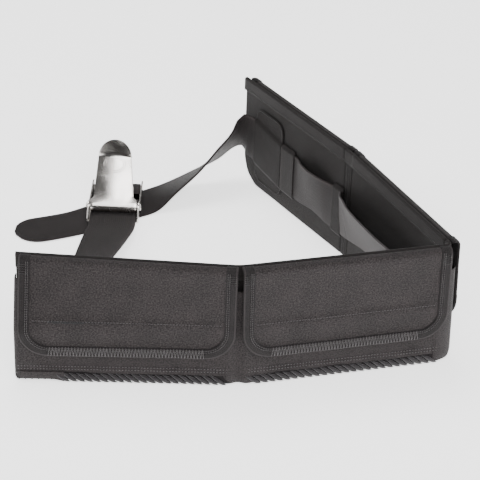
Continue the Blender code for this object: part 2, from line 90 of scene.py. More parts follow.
# The flap in developed coordinates: x along the pocket and d down the cloth from the hinge
FLAP_LEFT = 0.0006
FLAP_CLOTH = 0.0012
FLAP_BOTTOM_Z = 0.031
FLAP_CORNER = 0.028
FLAP_TOP_Z = 0.1231
FLAP_START_Y = -0.0044
FLAP_CENTRE_Y = -0.01156
FLAP_ROLL = 0.0042
FLAP_SEAM_Z = 0.0665
FLAP_COLUMNS = 81
FLAP_ROWS = 45
CLOTH_INSET = 0.004
EDGE_TAPE = 0.011
EDGE_TAPE_THICKNESS = 0.0024
TAPE_INSET = 0.028
TAPE_BAND = (0.043, 0.067)

# The back panels, which end short of each fold and reach past the belt's own ends
PANEL_FOOT = 0.0006
PANEL_TOP = 0.1218
PANEL_END = 0.1935
BELT_END = 0.0035
BINDING_FOOT = 0.1092

NET_PITCH = 0.0072
NET_REACH = 0.0150
NET_END = 0.1800
NET_FOOT_END = 0.1700

WEBBING = 0.050
WEBBING_THICKNESS = 0.0022
WEBBING_Y = 0.0015
WEBBING_Z = 0.050
TIP_LENGTH = 0.026

# Shapes


class Shape:
    """Points and faces, with a UV in metres for each corner of each face."""

    def __init__(self):
        self.points = []
        self.faces = []
        self.uvs = []

    def lattice(self, rows, uvs, ring=False, caps=False):
        """Faces through rows of points. A ring joins each row's end to its start, and has one UV more."""
        first, count = len(self.points), len(rows[0])
        for row in rows:
            self.points += [tuple(p) for p in row]
        for r in range(len(rows) - 1):
            for c in range(count if ring else count - 1):
                n = (c + 1) % count
                a, b = first + r * count, first + (r + 1) * count
                self.faces.append((a + c, a + n, b + n, b + c))
                self.uvs += [uvs[r][c], uvs[r][c + 1], uvs[r + 1][c + 1], uvs[r + 1][c]]
        if caps:
            for r, order in ((0, -1), (len(rows) - 1, 1)):
                loop = list(range(count))[::order]
                self.faces.append(tuple(first + r * count + c for c in loop))
                self.uvs += [uvs[r][c] for c in loop]
        return self

    def sweep(self, stations, section, scales=None):
        """Carries a closed section, as (across, out), along stations of (point, across, out)."""
        around = [0.0]
        for a, b in zip(section, section[1:] + section[:1]):
            around.append(around[-1] + math.hypot(b[0] - a[0], b[1] - a[1]))
        along = lengths([s[0] for s in stations])
        rows, uvs = [], []
        for k, (point, across, out) in enumerate(stations):
            wide, thick = scales[k] if scales else (1.0, 1.0)
            rows.append([point + across * (a * wide) + out * (b * thick) for a, b in section])
            uvs.append([(along[k], v) for v in around])
        return self.lattice(rows, uvs, ring=True, caps=True)


def lengths(points):
    """How far along the line each point lies."""
    made = [0.0]
    for a, b in zip(points, points[1:]):
        made.append(made[-1] + (Vector(b) - Vector(a)).length)
    return made


def spread(first, last, steps):
    """Evenly spaced values, with both ends."""
    return [first + (last - first) * k / steps for k in range(steps + 1)]


def strip_section(width, thickness, steps):
    """A flat closed section with round edges."""
    half, r = width / 2, thickness / 2
    run = [-half + r + (width - thickness) * k / steps for k in range(steps + 1)]
    edge = [math.radians(a) for a in (60, 30, 0, -30, -60)]
    over = [(a, r) for a in run]
    right = [(half - r + r * math.cos(a), r * math.sin(a)) for a in edge]
    under = [(a, -r) for a in run[::-1]]
    left = [(-half + r - r * math.cos(a), -r * math.sin(a)) for a in edge]
    return over + right + under + left


def piece(name, shape, finish, matrix=None, body=None):
    """A shape as an object, placed by the matrix, riding on the body and wearing the material slot."""
    mesh = bpy.data.meshes.new(name)
    mesh.from_pydata(shape.points, [], shape.faces)
    layer = mesh.uv_layers.new(name="UVMap")
    layer.data.foreach_set("uv", [x for uv in shape.uvs for x in uv])
    mesh.materials.append(finish)
    made = bpy.data.objects.new(name, mesh)
    SCENE.collection.objects.link(made)
    tidy_normals(mesh)
    mesh.shade_smooth()
    if matrix is not None:
        mesh.transform(matrix)
    if body is not None:
        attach(made, body)
    return made


def tidy_normals(mesh):
    """Turns all faces the same way."""
    shape = bmesh.new()
    shape.from_mesh(mesh)
    bmesh.ops.recalc_face_normals(shape, faces=shape.faces)
    shape.to_mesh(mesh)
    shape.free()


def thicken(made, thickness, subdivide=0):
    """Gives a sheet thickness, half of it to each side, and then rounds it by subdivision."""
    step = made.modifiers.new("thickness", "SOLIDIFY")
    step.thickness = thickness
    step.offset = 0.0
    if subdivide:
        smooth = made.modifiers.new("smooth", "SUBSURF")
        smooth.levels = smooth.render_levels = subdivide


def thread(shape, start, end, lift, radius=0.00032, rings=5, sides=6):
    """One stitch: a thread that comes out of the cloth, lies on it and goes back in."""
    along = end - start
    length = along.length
    side = along.cross(lift)
    if length < 1e-7 or side.length < 1e-9:
        return
    side.normalize()
    rows, uvs = [], []
    for k in range(rings):
        t = k / (rings - 1)
        rise = math.sin(math.pi * t)
        centre = start + along * t + lift * (radius * (0.9 * rise**0.6 - 0.45))
        thick = radius * (0.55 + 0.45 * rise**0.5)
        angles = [2 * math.pi * s / sides for s in range(sides)]
        rows.append([centre + side * (thick * math.cos(a)) + lift * (thick * math.sin(a)) for a in angles])
        uvs.append([(t * length, s * radius) for s in range(sides + 1)])
    shape.lattice(rows, uvs, ring=True, caps=True)


def stitch_row(shape, line, lifts, pitch=0.0026, share=0.74, radius=0.00032):
    """Stitches along a line of points, each with its own lift out of the cloth."""
    along = lengths(line)
    count = max(1, int(along[-1] / pitch))
    pitch = along[-1] / count

    def at(distance):
        k = next((i for i in range(1, len(along)) if along[i] >= distance), len(along) - 1)
        t = (distance - along[k - 1]) / max(along[k] - along[k - 1], 1e-9)
        t = min(1.0, max(0.0, t))
        return line[k - 1].lerp(line[k], t), lifts[k - 1].lerp(lifts[k], t).normalized()

    for k in range(count):
        a, lift = at((k + 0.5 - share / 2) * pitch)
        b, _ = at((k + 0.5 + share / 2) * pitch)
        thread(shape, a, b, lift, radius)


def wander(x, y, scale, seed):
    """Smooth noise from -1 to 1, the same on each run."""
    return noise.noise(Vector((x / scale, y / scale, seed * 7.31)))


# Materials


PER_METRE = 1000.0


class Finish:
    """A material and its nodes."""

    def __init__(self, name, roughness, metallic=0.0, sheen=0.0, specular=0.18):
        self.material = bpy.data.materials.new(name)
        self.material.use_nodes = True
        self.nodes = self.material.node_tree.nodes
        self.links = self.material.node_tree.links
        self.shader = self.nodes["Principled BSDF"]
        self.shader.inputs["Roughness"].default_value = roughness
        self.shader.inputs["Metallic"].default_value = metallic
        self.shader.inputs["Specular IOR Level"].default_value = specular
        self.shader.inputs["Sheen Weight"].default_value = sheen
        self.shader.inputs["Sheen Roughness"].default_value = 0.45

    def add(self, kind, **settings):
        made = self.nodes.new(kind)
        for key, value in settings.items():
            setattr(made, key, value)
        return made

    def put(self, socket, value):
        if isinstance(value, bpy.types.NodeSocket):
            self.links.new(value, socket)
        else:
            socket.default_value = value

    def maths(self, operation, *values):
        made = self.add("ShaderNodeMath", operation=operation)
        for socket, value in zip(made.inputs, values):
            self.put(socket, value)
        return made.outputs[0]

    def place(self):
        """The UV as u and v, in millimetres."""
        uv = self.add("ShaderNodeUVMap", uv_map="UVMap")
        parts = self.add("ShaderNodeSeparateXYZ")
        self.links.new(uv.outputs[0], parts.inputs[0])
        u = self.maths("MULTIPLY", parts.outputs[0], PER_METRE)
        v = self.maths("MULTIPLY", parts.outputs[1], PER_METRE)
        return u, v

    def vector(self, u, v, w=0.0):
        made = self.add("ShaderNodeCombineXYZ")
        for socket, value in zip(made.inputs, (u, v, w)):
            self.put(socket, value)
        return made.outputs[0]

    def speckle(self, vector, scale, detail=3.0):
        made = self.add("ShaderNodeTexNoise")
        self.put(made.inputs["Vector"], vector)
        made.inputs["Scale"].default_value = scale
        made.inputs["Detail"].default_value = detail
        return made.outputs["Fac"]

    def remap(self, value, low, high, to_low=0.0, to_high=1.0):
        made = self.add("ShaderNodeMapRange")
        for key, number in (("From Min", low), ("From Max", high), ("To Min", to_low), ("To Max", to_high)):
            made.inputs[key].default_value = number
        self.put(made.inputs["Value"], value)
        return made.outputs["Result"]

    def mix(self, share, first, second):
        made = self.add("ShaderNodeMix", data_type="RGBA")
        self.put(made.inputs["Factor"], share)
        self.put(made.inputs["A"], first if isinstance(first, bpy.types.NodeSocket) else (*first, 1.0))
        self.put(made.inputs["B"], second if isinstance(second, bpy.types.NodeSocket) else (*second, 1.0))
        return made.outputs["Result"]

    def bump(self, height, depth, strength=1.0):
        """A height from 0 to 1, as relief of that depth in metres."""
        made = self.add("ShaderNodeBump")
        made.inputs["Distance"].default_value = depth
        made.inputs["Strength"].default_value = strength
        self.put(made.inputs["Height"], height)
        self.links.new(made.outputs[0], self.shader.inputs["Normal"])

    def colour(self, value):
        self.put(self.shader.inputs["Base Color"], value)


def woven_cloth(name, dark, light, thread_mm, depth, roughness, sheen):
    """Plain-woven cloth: threads that pass over and under each other, with slubs and soft patches."""
    f = Finish(name, roughness, sheen=sheen)
    u, v = f.place()
    su = f.maths("SINE", f.maths("MULTIPLY", u, math.pi / thread_mm))
    sv = f.maths("SINE", f.maths("MULTIPLY", v, math.pi / thread_mm))
    au, av = f.maths("ABSOLUTE", su), f.maths("ABSOLUTE", sv)
    over = f.maths("GREATER_THAN", f.maths("MULTIPLY", su, sv), 0.0)
    warp = f.maths("MULTIPLY", au, f.maths("MULTIPLY_ADD", av, 0.5, 0.5))
    weft = f.maths("MULTIPLY", av, f.maths("MULTIPLY_ADD", au, 0.5, 0.5))
    under = f.maths("SUBTRACT", 1.0, over)
    height = f.maths("ADD", f.maths("MULTIPLY", warp, over), f.maths("MULTIPLY", weft, under))
    slub = f.speckle(f.vector(u, f.maths("MULTIPLY", v, 0.25)), 0.9, 2.0)
    patch = f.speckle(f.vector(u, v), 0.045, 4.0)
    mottle = f.speckle(f.vector(u, v), 0.70, 4.0)
    tone = f.maths("MULTIPLY_ADD", height, 0.30, f.maths("MULTIPLY", slub, 0.30))
    tone = f.maths("ADD", tone, f.maths("MULTIPLY_ADD", patch, 0.60, -0.25))
    tone = f.maths("ADD", tone, f.maths("MULTIPLY_ADD", mottle, 2.2, -1.08))
    f.colour(f.mix(tone, dark, light))
    f.put(f.shader.inputs["Roughness"], f.remap(patch, 0.3, 0.7, roughness - 0.06, roughness + 0.08))
    relief = f.maths("ADD", height, f.maths("MULTIPLY_ADD", slub, 0.5, f.maths("MULTIPLY", mottle, 0.8)))
    f.bump(relief, depth)
    return f.material


def ribbed_tape(name, dark, light, rib_mm, column_mm, half_mm, depth, roughness, worn):
    """Narrow woven tape: ribs across it in slanting columns, and worn paler along both edges."""
    f = Finish(name, roughness, sheen=0.05)
    u, v = f.place()
    column = f.maths("PINGPONG", v, column_mm)
    slant = f.maths("MULTIPLY_ADD", column, 0.55 / column_mm, f.maths("MULTIPLY", u, 1.0 / rib_mm))
    rib = f.maths("ABSOLUTE", f.maths("SINE", f.maths("MULTIPLY", slant, math.pi)))
    groove = f.maths("ABSOLUTE", f.maths("SINE", f.maths("MULTIPLY", v, math.pi / column_mm)))
    height = f.maths("MULTIPLY", rib, f.maths("POWER", groove, 0.35))
    edge = f.maths("ABSOLUTE", f.maths("SINE", f.maths("MULTIPLY", v, math.pi / half_mm)))
    wear = f.remap(edge, 0.22, 0.02)
    patch = f.speckle(f.vector(u, v), 0.06, 4.0)
    fleck = f.speckle(f.vector(u, v), 0.8, 2.0)
    tone = f.maths("MULTIPLY_ADD", height, 0.60, f.maths("MULTIPLY_ADD", fleck, 1.6, -0.72))
    tone = f.maths("ADD", tone, f.maths("MULTIPLY_ADD", patch, 0.50, -0.20))
    base = f.mix(tone, dark, light)
    f.colour(f.mix(f.maths("MULTIPLY", wear, f.maths("MULTIPLY_ADD", fleck, 0.8, 0.2)), base, worn))
    f.bump(height, depth)
    return f.material


def loop_pile(name, dark, light, depth):
    f = Finish(name, 0.9, sheen=0.5)
    u, v = f.place()
    curl = f.speckle(f.vector(u, v), 1.7, 4.0)
    clump = f.speckle(f.vector(u, v), 0.35, 2.0)
    f.colour(f.mix(f.maths("MULTIPLY_ADD", curl, 0.7, f.maths("MULTIPLY", clump, 0.4)), dark, light))
    f.bump(curl, depth)
    return f.material


def twisted_thread(name, dark, light, twist_mm):
    f = Finish(name, 0.55, sheen=0.3)
    u, v = f.place()
    # The stripes along the twist are partly the fibres' lay and partly a painted highlight on the crests of
    # the twist: lighter in colour as well as raised.
    lay_and_highlight = f.maths("SINE", f.maths("MULTIPLY", f.maths("ADD", u, v), 2 * math.pi / twist_mm))
    fleck = f.speckle(f.vector(u, v), 0.6, 2.0)
    f.colour(f.mix(f.maths("MULTIPLY_ADD", lay_and_highlight, 0.25, fleck), dark, light))
    f.bump(lay_and_highlight, 0.0001)
    return f.material


def brushed_steel(name, colour, roughness):
    """Polished stainless with fine drawing lines, faint smears and light scratches."""
    f = Finish(name, roughness, metallic=1.0, specular=0.5)
    place = f.add("ShaderNodeTexCoord").outputs["Object"]
    parts = f.add("ShaderNodeSeparateXYZ")
    f.links.new(place, parts.inputs[0])
    x, y, z = parts.outputs

    def stretched(*scales):
        return f.vector(*[f.maths("MULTIPLY", axis, scale) for axis, scale in zip((x, y, z), scales)])

    drawn = stretched(2600.0, 90.0, 90.0)
    lines = f.speckle(drawn, 1.0, 2.0)
    smear = f.speckle(place, 70.0, 3.0)
    scratch = f.add("ShaderNodeTexVoronoi", feature="DISTANCE_TO_EDGE")
    f.put(scratch.inputs["Vector"], stretched(60.0, 260.0, 60.0))
    scratch.inputs["Scale"].default_value = 1.4
    mark = f.remap(scratch.outputs["Distance"], 0.0, 0.012, 1.0, 0.0)
    smeared = f.remap(smear, 0.35, 0.7, roughness - 0.05, roughness + 0.10)
    rough = f.maths("ADD", smeared, f.maths("MULTIPLY", lines, 0.05))
    f.put(f.shader.inputs["Roughness"], f.maths("ADD", rough, f.maths("MULTIPLY", mark, 0.10)))
    pale = tuple(min(1.0, c * 1.12) for c in colour)
    f.colour(f.mix(smear, colour, pale))
    f.bump(f.maths("SUBTRACT", lines, f.maths("MULTIPLY", mark, 0.6)), 0.00002, 0.6)
    return f.material


PACK_CLOTH = woven_cloth(
    "pack_cloth",
    dark=(0.0075, 0.0062, 0.0063),
    light=(0.061, 0.0508, 0.0514),
    thread_mm=1.15,
    depth=0.00040,
    roughness=0.62,
    sheen=0.06,
)
LINING = woven_cloth(
    "lining_cloth",
    dark=(0.0048, 0.0039, 0.0038),
    light=(0.0215, 0.0177, 0.0171),
    thread_mm=0.85,
    depth=0.00018,
    roughness=0.74,
    sheen=0.05,
)
TAPE = ribbed_tape(
    "edge_tape",
    dark=(0.0034, 0.0028, 0.0029),
    light=(0.029, 0.0243, 0.0247),
    rib_mm=0.9,
    column_mm=1.6,
    half_mm=12.4,
    depth=0.00034,
    roughness=0.60,
    worn=(0.050, 0.042, 0.043),
)
BINDING = ribbed_tape(
    "binding_tape",
    dark=(0.0048, 0.0039, 0.0038),
    light=(0.0208, 0.0170, 0.0164),
    rib_mm=0.9,
    column_mm=1.9,
    half_mm=40.0,
    depth=0.00020,
    roughness=0.66,
    worn=(0.0240, 0.0199, 0.0193),
)
STRAP = ribbed_tape(
    "strap_webbing",
    dark=(0.0055, 0.0043, 0.0043),
    light=(0.031, 0.0250, 0.0248),
    rib_mm=1.25,
    column_mm=2.1,
    half_mm=51.25,
    depth=0.00040,
    roughness=0.55,
    worn=(0.044, 0.036, 0.036),
)
# The same webbing as the strap, painted paler: a painted sheen for the strap inside the belt, where it
# catches the light.
SHEEN_PAINTED_STRAP = ribbed_tape(
    "webbing_painted_sheen",
    dark=(0.017, 0.0145, 0.0147),
    light=(0.057, 0.0490, 0.0497),
    rib_mm=1.25,
    column_mm=2.1,
    half_mm=51.25,
    depth=0.00036,
    roughness=0.55,
    worn=(0.081, 0.072, 0.074),
)
NET = twisted_thread(
    "net_strand",
    dark=(0.0036, 0.0031, 0.0036),
    light=(0.044, 0.038, 0.042),
    twist_mm=0.9,
)
NET_BACK = woven_cloth(
    "net_backing",
    dark=(0.0040, 0.0034, 0.0038),
    light=(0.020, 0.017, 0.018),
    thread_mm=1.4,
    depth=0.0003,
    roughness=0.85,
    sheen=0.05,
)
STITCH = twisted_thread(
    "stitch_thread",
    dark=(0.040, 0.035, 0.036),
    light=(0.150, 0.136, 0.140),
    twist_mm=0.7,
)
TAPE_STITCH = twisted_thread(
    "tape_thread",
    dark=(0.022, 0.0190, 0.0192),
    light=(0.105, 0.093, 0.095),
    twist_mm=0.7,
)
DARK_STITCH = twisted_thread(
    "dark_thread",
    dark=(0.0060, 0.0050, 0.0050),
    light=(0.030, 0.026, 0.026),
    twist_mm=0.7,
)
PILE = loop_pile(
    "loop_pile",
    dark=(0.004, 0.004, 0.0045),
    light=(0.022, 0.021, 0.022),
    depth=0.0006,
)
STEEL = brushed_steel(
    "stainless_steel",
    colour=(0.60, 0.575, 0.55),
    roughness=0.17,
)

# Module frames


def module_matrix(number):
    """The pocket's own frame, from the hinge of its flap."""
    joint = next(j for j in frame["joints"] if j["name"] == f"flap_{number}_hinge")
    along = -Vector(joint["axis"])
    inward = UP.cross(along)
    place = Vector(joint["pos_m"]) - along * (PITCH / 2) - inward * HINGE_Y - UP * HEIGHT
    turn = Matrix((along, inward, UP)).transposed().to_4x4()
    return Matrix.Translation(place) @ turn


MODULES = {number: module_matrix(number) for number in (1, 2, 3, 4)}
FOLD = MODULES[2].translation

# Flaps


class Flap:
    """A flap's surface in developed coordinates, with the relief that its cloth takes up."""

    lean = math.atan(POCKET_LEAN)
    turn = math.pi / 2 - lean
    roll_y = FLAP_CENTRE_Y - POCKET_LEAN * 0.0049 + FLAP_ROLL * math.cos(lean)
    roll_centre = Vector((0.0, roll_y, FLAP_TOP_Z - FLAP_ROLL))
    run = FLAP_START_Y - roll_centre.y
    hang_z = FLAP_TOP_Z - FLAP_ROLL + FLAP_ROLL * math.sin(lean)
    total = run + FLAP_ROLL * turn + (hang_z - FLAP_BOTTOM_Z) / math.cos(lean)

    def __init__(self, number):
        self.number = number
        self.relief = None

    def section(self, d):
        """y and z of the middle surface, and its outward direction."""
        if d < self.run:
            return FLAP_START_Y - d, FLAP_TOP_Z, Vector((0.0, 0.0, 1.0))
        turn = (d - self.run) / FLAP_ROLL
        if turn < self.turn:
            out = Vector((0.0, -math.sin(turn), math.cos(turn)))
            centre = self.roll_centre + out * FLAP_ROLL
            return centre.y, centre.z, out
        rest = d - self.run - FLAP_ROLL * self.turn
        out = Vector((0.0, -math.cos(self.lean), math.sin(self.lean)))
        centre = self.roll_centre + out * FLAP_ROLL
        return centre.y - rest * math.sin(self.lean), centre.z - rest * math.cos(self.lean), out

    def distance(self, z):
        """d of a height on the hanging part."""
        return self.run + FLAP_ROLL * self.turn + (self.hang_z - z) / math.cos(self.lean)

    def edge(self, inset, d):
        """x of the left edge, that far in from the flap's outline."""
        below = d - (self.total - FLAP_CORNER)
        if below <= 0.0:
            return FLAP_LEFT + inset
        radius = FLAP_CORNER - inset
        return FLAP_LEFT + FLAP_CORNER - math.sqrt(max(0.0, radius * radius - below * below))

    def raised(self, x, d):
        """Relief that isn't simulated: the doubled cloth below the cross seam, and the seam's own dip."""
        seam = self.distance(FLAP_SEAM_Z)
        below = min(1.0, max(0.0, (d - seam) / 0.004))
        rise = 0.00045 * below * below * (3.0 - 2.0 * below)
        dip = -0.00030 * math.exp(-(((d - seam) / 0.0014) ** 2))
        soft = 0.00035 * wander(x, d, 0.045, self.number) + 0.00012 * wander(x, d, 0.012, self.number + 9)
        hold = min(1.0, max(0.0, (d - 0.010) / 0.015))
        return (rise + dip + soft) * hold

    def bulge(self, x, d):
        """All the relief at a point: the simulated part is read from its grid between four points."""
        made = self.raised(x, d)
        if self.relief:
            rows, columns = len(self.relief) - 1, len(self.relief[0]) - 1
            r = min(max(d / (self.total - CLOTH_INSET), 0.0), 0.99999) * rows
            left = self.edge(CLOTH_INSET, min(d, self.total - CLOTH_INSET))
            c = min(max((x - left) / (PITCH - 2 * left), 0.0), 0.99999) * columns
            i, j = int(r), int(c)
            a = self.relief[i][j] * (1 - c + j) + self.relief[i][j + 1] * (c - j)
            b = self.relief[i + 1][j] * (1 - c + j) + self.relief[i + 1][j + 1] * (c - j)
            made += a * (1 - r + i) + b * (r - i)
        return made

    def place(self, x, d, out=0.0):
        """The point of the pocket's frame that lies that far out from the cloth's middle surface."""
        y, z, direction = self.section(d)
        swing = flare(self.number, x, z)
        return Vector((x, y - swing, z)) + direction * (out + self.bulge(x, d))

    def outward(self, d):
        return self.section(d)[2]

    def outline(self, inset, start=0.0, step=0.003):
        """Points (x, d) down the left side, round both corners and up the right side."""
        radius = FLAP_CORNER - inset
        left, low = FLAP_LEFT + inset, self.total - FLAP_CORNER
        steps = max(2, int((low - start) / step))
        made = [(left, start + (low - start) * k / steps) for k in range(steps)]
        turns = max(4, int(radius * math.pi / 2 / step))
        for k in range(turns):
            a = math.pi / 2 * k / turns
            made.append((left + radius * (1 - math.cos(a)), low + radius * math.sin(a)))
        first, last = left + radius, PITCH - left - radius
        across = max(2, int((last - first) / step))
        made += [(first + (last - first) * k / across, self.total - inset) for k in range(across // 2 + 1)]
        return made + [(PITCH - x, d) for x, d in made[::-1]]


def flap_grid(flap):
    """The flap cloth before its relief: points, developed places, and which of them are held."""
    points, places, held = [], [], []
    last = flap.total - CLOTH_INSET
    for r in range(FLAP_ROWS):
        d = last * r / (FLAP_ROWS - 1)
        left = flap.edge(CLOTH_INSET, d)
        for c in range(FLAP_COLUMNS):
            x = left + (PITCH - 2 * left) * c / (FLAP_COLUMNS - 1)
            y, z, _ = flap.section(d)
            points.append((x, y, z))
            places.append((x, d))
            near_side = min(x, PITCH - x) - flap.edge(0.0, d)
            near_end = min(d - 0.006, last + CLOTH_INSET - d)
            seam = abs(d - flap.distance(FLAP_SEAM_Z)) < 0.0013
            inside = min(near_side, near_end) > EDGE_TAPE
            held.append(0.0 if inside and not seam else 1.0)
    return points, places, held


def cloth_relief(jobs, frames=20):
    """Lets each held sheet of cloth settle, and gives how far each point moved along its own outward line.

    A job is (points, columns, outward directions, held weights, pressure, gravity, most a point may move).
    """
    made = []
    for points, columns, _, held, pressure, gravity, _ in jobs:
        rows = len(points) // columns
        mesh = bpy.data.meshes.new("settling")
        faces = []
        for r in range(rows - 1):
            for c in range(columns - 1):
                a, b = r * columns + c, (r + 1) * columns + c
                faces.append((a, a + 1, b + 1, b))
        mesh.from_pydata(points, [], faces)
        sheet = bpy.data.objects.new("settling", mesh)
        SCENE.collection.objects.link(sheet)
        group = sheet.vertex_groups.new(name="held")
        for k, weight in enumerate(held):
            if weight > 0.0:
                group.add([k], weight, "REPLACE")
        cloth = sheet.modifiers.new("cloth", "CLOTH")
        cloth.settings.quality = 6
        cloth.settings.mass = 0.35
        cloth.settings.tension_stiffness = 18.0
        cloth.settings.compression_stiffness = 18.0
        cloth.settings.shear_stiffness = 6.0
        cloth.settings.bending_stiffness = 1.2
        cloth.settings.shrink_min = -0.006
        cloth.settings.shrink_max = -0.006
        cloth.settings.vertex_group_mass = "held"
        cloth.settings.use_pressure = True
        cloth.settings.uniform_pressure_force = pressure
        cloth.settings.effector_weights.gravity = gravity
        cloth.point_cache.frame_end = frames
        made.append(sheet)
    for k in range(1, frames + 1):
        SCENE.frame_set(k)
    graph = bpy.context.evaluated_depsgraph_get()
    found = []
    for sheet, (points, _, outs, _, _, _, most) in zip(made, jobs):
        settled = sheet.evaluated_get(graph).data.vertices
        moves = [(settled[k].co - Vector(p)).dot(outs[k]) for k, p in enumerate(points)]
        found.append([most * math.tanh(m / most) for m in moves])
        bpy.data.objects.remove(sheet)
    SCENE.frame_set(1)
    return found


def in_rows(values, columns):
    return [values[k : k + columns] for k in range(0, len(values), columns)]


def settle_flaps(flaps):
    """Runs the cloth simulation on the flaps, and keeps the relief that it leaves."""
    jobs = []
    for flap in flaps:
        points, places, held = flap_grid(flap)
        start = [p if k % 2 else (p[0], p[1] - 0.00002, p[2]) for k, p in enumerate(points)]
        outs = [flap.outward(d) for _, d in places]
        jobs.append((start, FLAP_COLUMNS, outs, held, 0.35 + 0.1 * flap.number, 0.35, 0.0012))
    for flap, moves in zip(flaps, cloth_relief(jobs)):
        flap.relief = in_rows(moves, FLAP_COLUMNS)


def flap_cloth(flap, matrix):
    _, places, _ = flap_grid(flap)
    uvs = in_rows(places, FLAP_COLUMNS)
    rows = [[flap.place(x, d) for x, d in row] for row in uvs]
    shape = Shape().lattice(rows, uvs)
    made = piece(f"flap_{flap.number}_cloth", shape, PACK_CLOTH, matrix, f"flap_{flap.number}")
    thicken(made, FLAP_CLOTH, 1)
    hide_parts(f"pocket_{flap.number}_flap")


def flap_stations(flap, inset, start=0.0, out=0.0, step=0.003):
    """(point, across, out) along the flap's outline at that inset. Across points away from the edge."""
    line = flap.outline(inset, start, step)
    reach = 0.002
    made = []
    for k, (x, d) in enumerate(line):
        (xa, da), (xb, db) = line[max(k - 1, 0)], line[min(k + 1, len(line) - 1)]
        size = math.hypot(xb - xa, db - da)
        across_x, across_d = (db - da) / size, -(xb - xa) / size
        point = flap.place(x, d, out)
        ahead = flap.place(x + across_x * reach, max(0.0, d + across_d * reach), out)
        across = (ahead - point).normalized()
        made.append((point, across, flap.outward(d)))
    return made


def flap_edge_tape(flap, matrix):
    """Tape folded round the flap's free edge, with a raised inner edge."""
    half = EDGE_TAPE / 2
    section = strip_section(EDGE_TAPE, EDGE_TAPE_THICKNESS, 6)
    section = [(a, b + (0.00022 if b > 0 and a > half - 0.0025 else 0.0)) for a, b in section]
    shape = Shape().sweep(flap_stations(flap, half), section)
    made = piece(f"flap_{flap.number}_edge_tape", shape, TAPE, matrix, f"flap_{flap.number}")
    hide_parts(f"pocket_{flap.number}_flap_edge_tape")


def flap_stitching(flap, matrix):
    """Double rows round the tape, the zigzag along its foot, the cross seam and the corner bar tacks."""
    shape = Shape()
    top = EDGE_TAPE_THICKNESS / 2 + 0.00015
    for inset in (0.0073, 0.0090):
        stations = flap_stations(flap, inset, 0.008, top + 0.0001, 0.002)
        points, _, outs = zip(*stations)
        stitch_row(shape, points, outs, pitch=0.0023, share=0.72, radius=0.00034)
    seam = flap.distance(FLAP_SEAM_Z)
    first = FLAP_LEFT + EDGE_TAPE + 0.002
    line = [flap.place(x, seam, FLAP_CLOTH / 2 + 0.0001) for x in spread(first, PITCH - first, 60)]
    stitch_row(shape, line, [flap.outward(seam)] * len(line), pitch=0.0028, share=0.66, radius=0.00034)

    zigzag = Shape()
    low, high = flap.total - 0.0011, flap.total - 0.0104
    start, end, step = 0.0285, PITCH - 0.0285, 0.00145
    count = int((end - start) / step)
    for k in range(count):
        x = start + k * step
        a = flap.place(x, low, top)
        b = flap.place(x + step * 0.9, high, top)
        if k % 2:
            a, b = flap.place(x + step * 0.9, low, top), flap.place(x, high, top)
        wave = 0.85 + 0.3 * abs(wander(x, 0.0, 0.006, flap.number))
        thread(zigzag, a, b, flap.outward(flap.total), 0.00040 * wave, rings=7)
    piece(f"flap_{flap.number}_zigzag", zigzag, TAPE_STITCH, matrix, f"flap_{flap.number}")
    tacks = Shape()
    for k in range(5):
        d = 0.0105 + 0.0021 * k
        for left in (FLAP_LEFT + 0.0012, PITCH - FLAP_LEFT - 0.0098):
            for part in range(3):
                a = flap.place(left + 0.0029 * part, d, top)
                b = flap.place(left + 0.0029 * part + 0.0027, d, top)
                thread(tacks, a, b, flap.outward(d), 0.00036)
    piece(f"flap_{flap.number}_bar_tacks", tacks, DARK_STITCH, matrix, f"flap_{flap.number}")
    piece(f"flap_{flap.number}_stitching", shape, TAPE_STITCH, matrix, f"flap_{flap.number}")


def hinge_strip(number, matrix):
    """The fold of tape that joins a flap to its pocket's top edge."""
    profile = [
        (-0.0031, 0.1190),
        (-0.0034, 0.1212),
        (-0.0039, 0.1224),
        (-0.0047, 0.1228),
        (-0.0058, 0.1229),
        (-0.0072, 0.1229),
    ]
    line = [p.xyz for p in smooth([(Vector((0.0, y, z)), 0.0) for y, z in profile], 0.0006)]
    down = lengths(line)
    first = FLAP_LEFT + 0.0012
    rows, uvs = [], []
    for x in spread(first, PITCH - first, 40):
        rows.append([matrix @ Vector((x, p.y, p.z)) for p in line])
        uvs.append([(x, d) for d in down])
    made = piece(f"flap_{number}_hinge_strip", Shape().lattice(rows, uvs), BINDING)
    thicken(made, 0.0004)
    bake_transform(made)


def hook_strip(flap, matrix):
    """The hook half, sewn inside the flap."""
    middle = flap.distance(sum(TAPE_BAND) / 2)
    back = -(FLAP_CLOTH / 2 + 0.0007)
    stations = []
    for x in spread(TAPE_INSET, PITCH - TAPE_INSET, 48):
        point = flap.place(x, middle, 0.0) + flap.outward(middle) * back
        down = (flap.place(x, middle + 0.002) - flap.place(x, middle - 0.002)).normalized()
        stations.append((point, down, flap.outward(middle)))
    width = (TAPE_BAND[1] - TAPE_BAND[0]) * 0.98
    shape = Shape().sweep(stations, strip_section(width, 0.0009, 8))
    body = f"flap_{flap.number}"
    made = piece(f"{body}_hook_strip", shape, PILE, matrix, body)
    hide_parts(f"pocket_{flap.number}_hook_tape")


# Pocket bags


def pocket_front_y(z):
    """The bag's front, which leans in towards its top."""
    return -(POCKET_DEPTH - POCKET_LEAN * z)


def bag_ends(number):
    """Where a bag's sides are. The two at the belt's ends reach out under their flaps' edges."""
    left = -0.0040 if number == 1 else POCKET_MARGIN
    right = PITCH + 0.0010 if number == 4 else PITCH - POCKET_MARGIN
    return left, right


def trimmed(number, p):
    """Keeps the free end's pocket behind the round lower corner of its back panel."""
    return round_corner(p, PITCH + BELT_END - 0.003) if number == 4 else p


def flare(number, x, z):
    """How far the buckle end's pocket swings out below its top, because nothing holds its free corner."""
    if number != 1:
        return 0.0
    free = min(1.0, max(0.0, 1.0 - x / PITCH))
    below = max(0.0, 1.0 - z / 0.118)
    return 0.0165 * free**1.15 * min(1.0, 1.9 * below) * (1.0 - 0.12 * below)


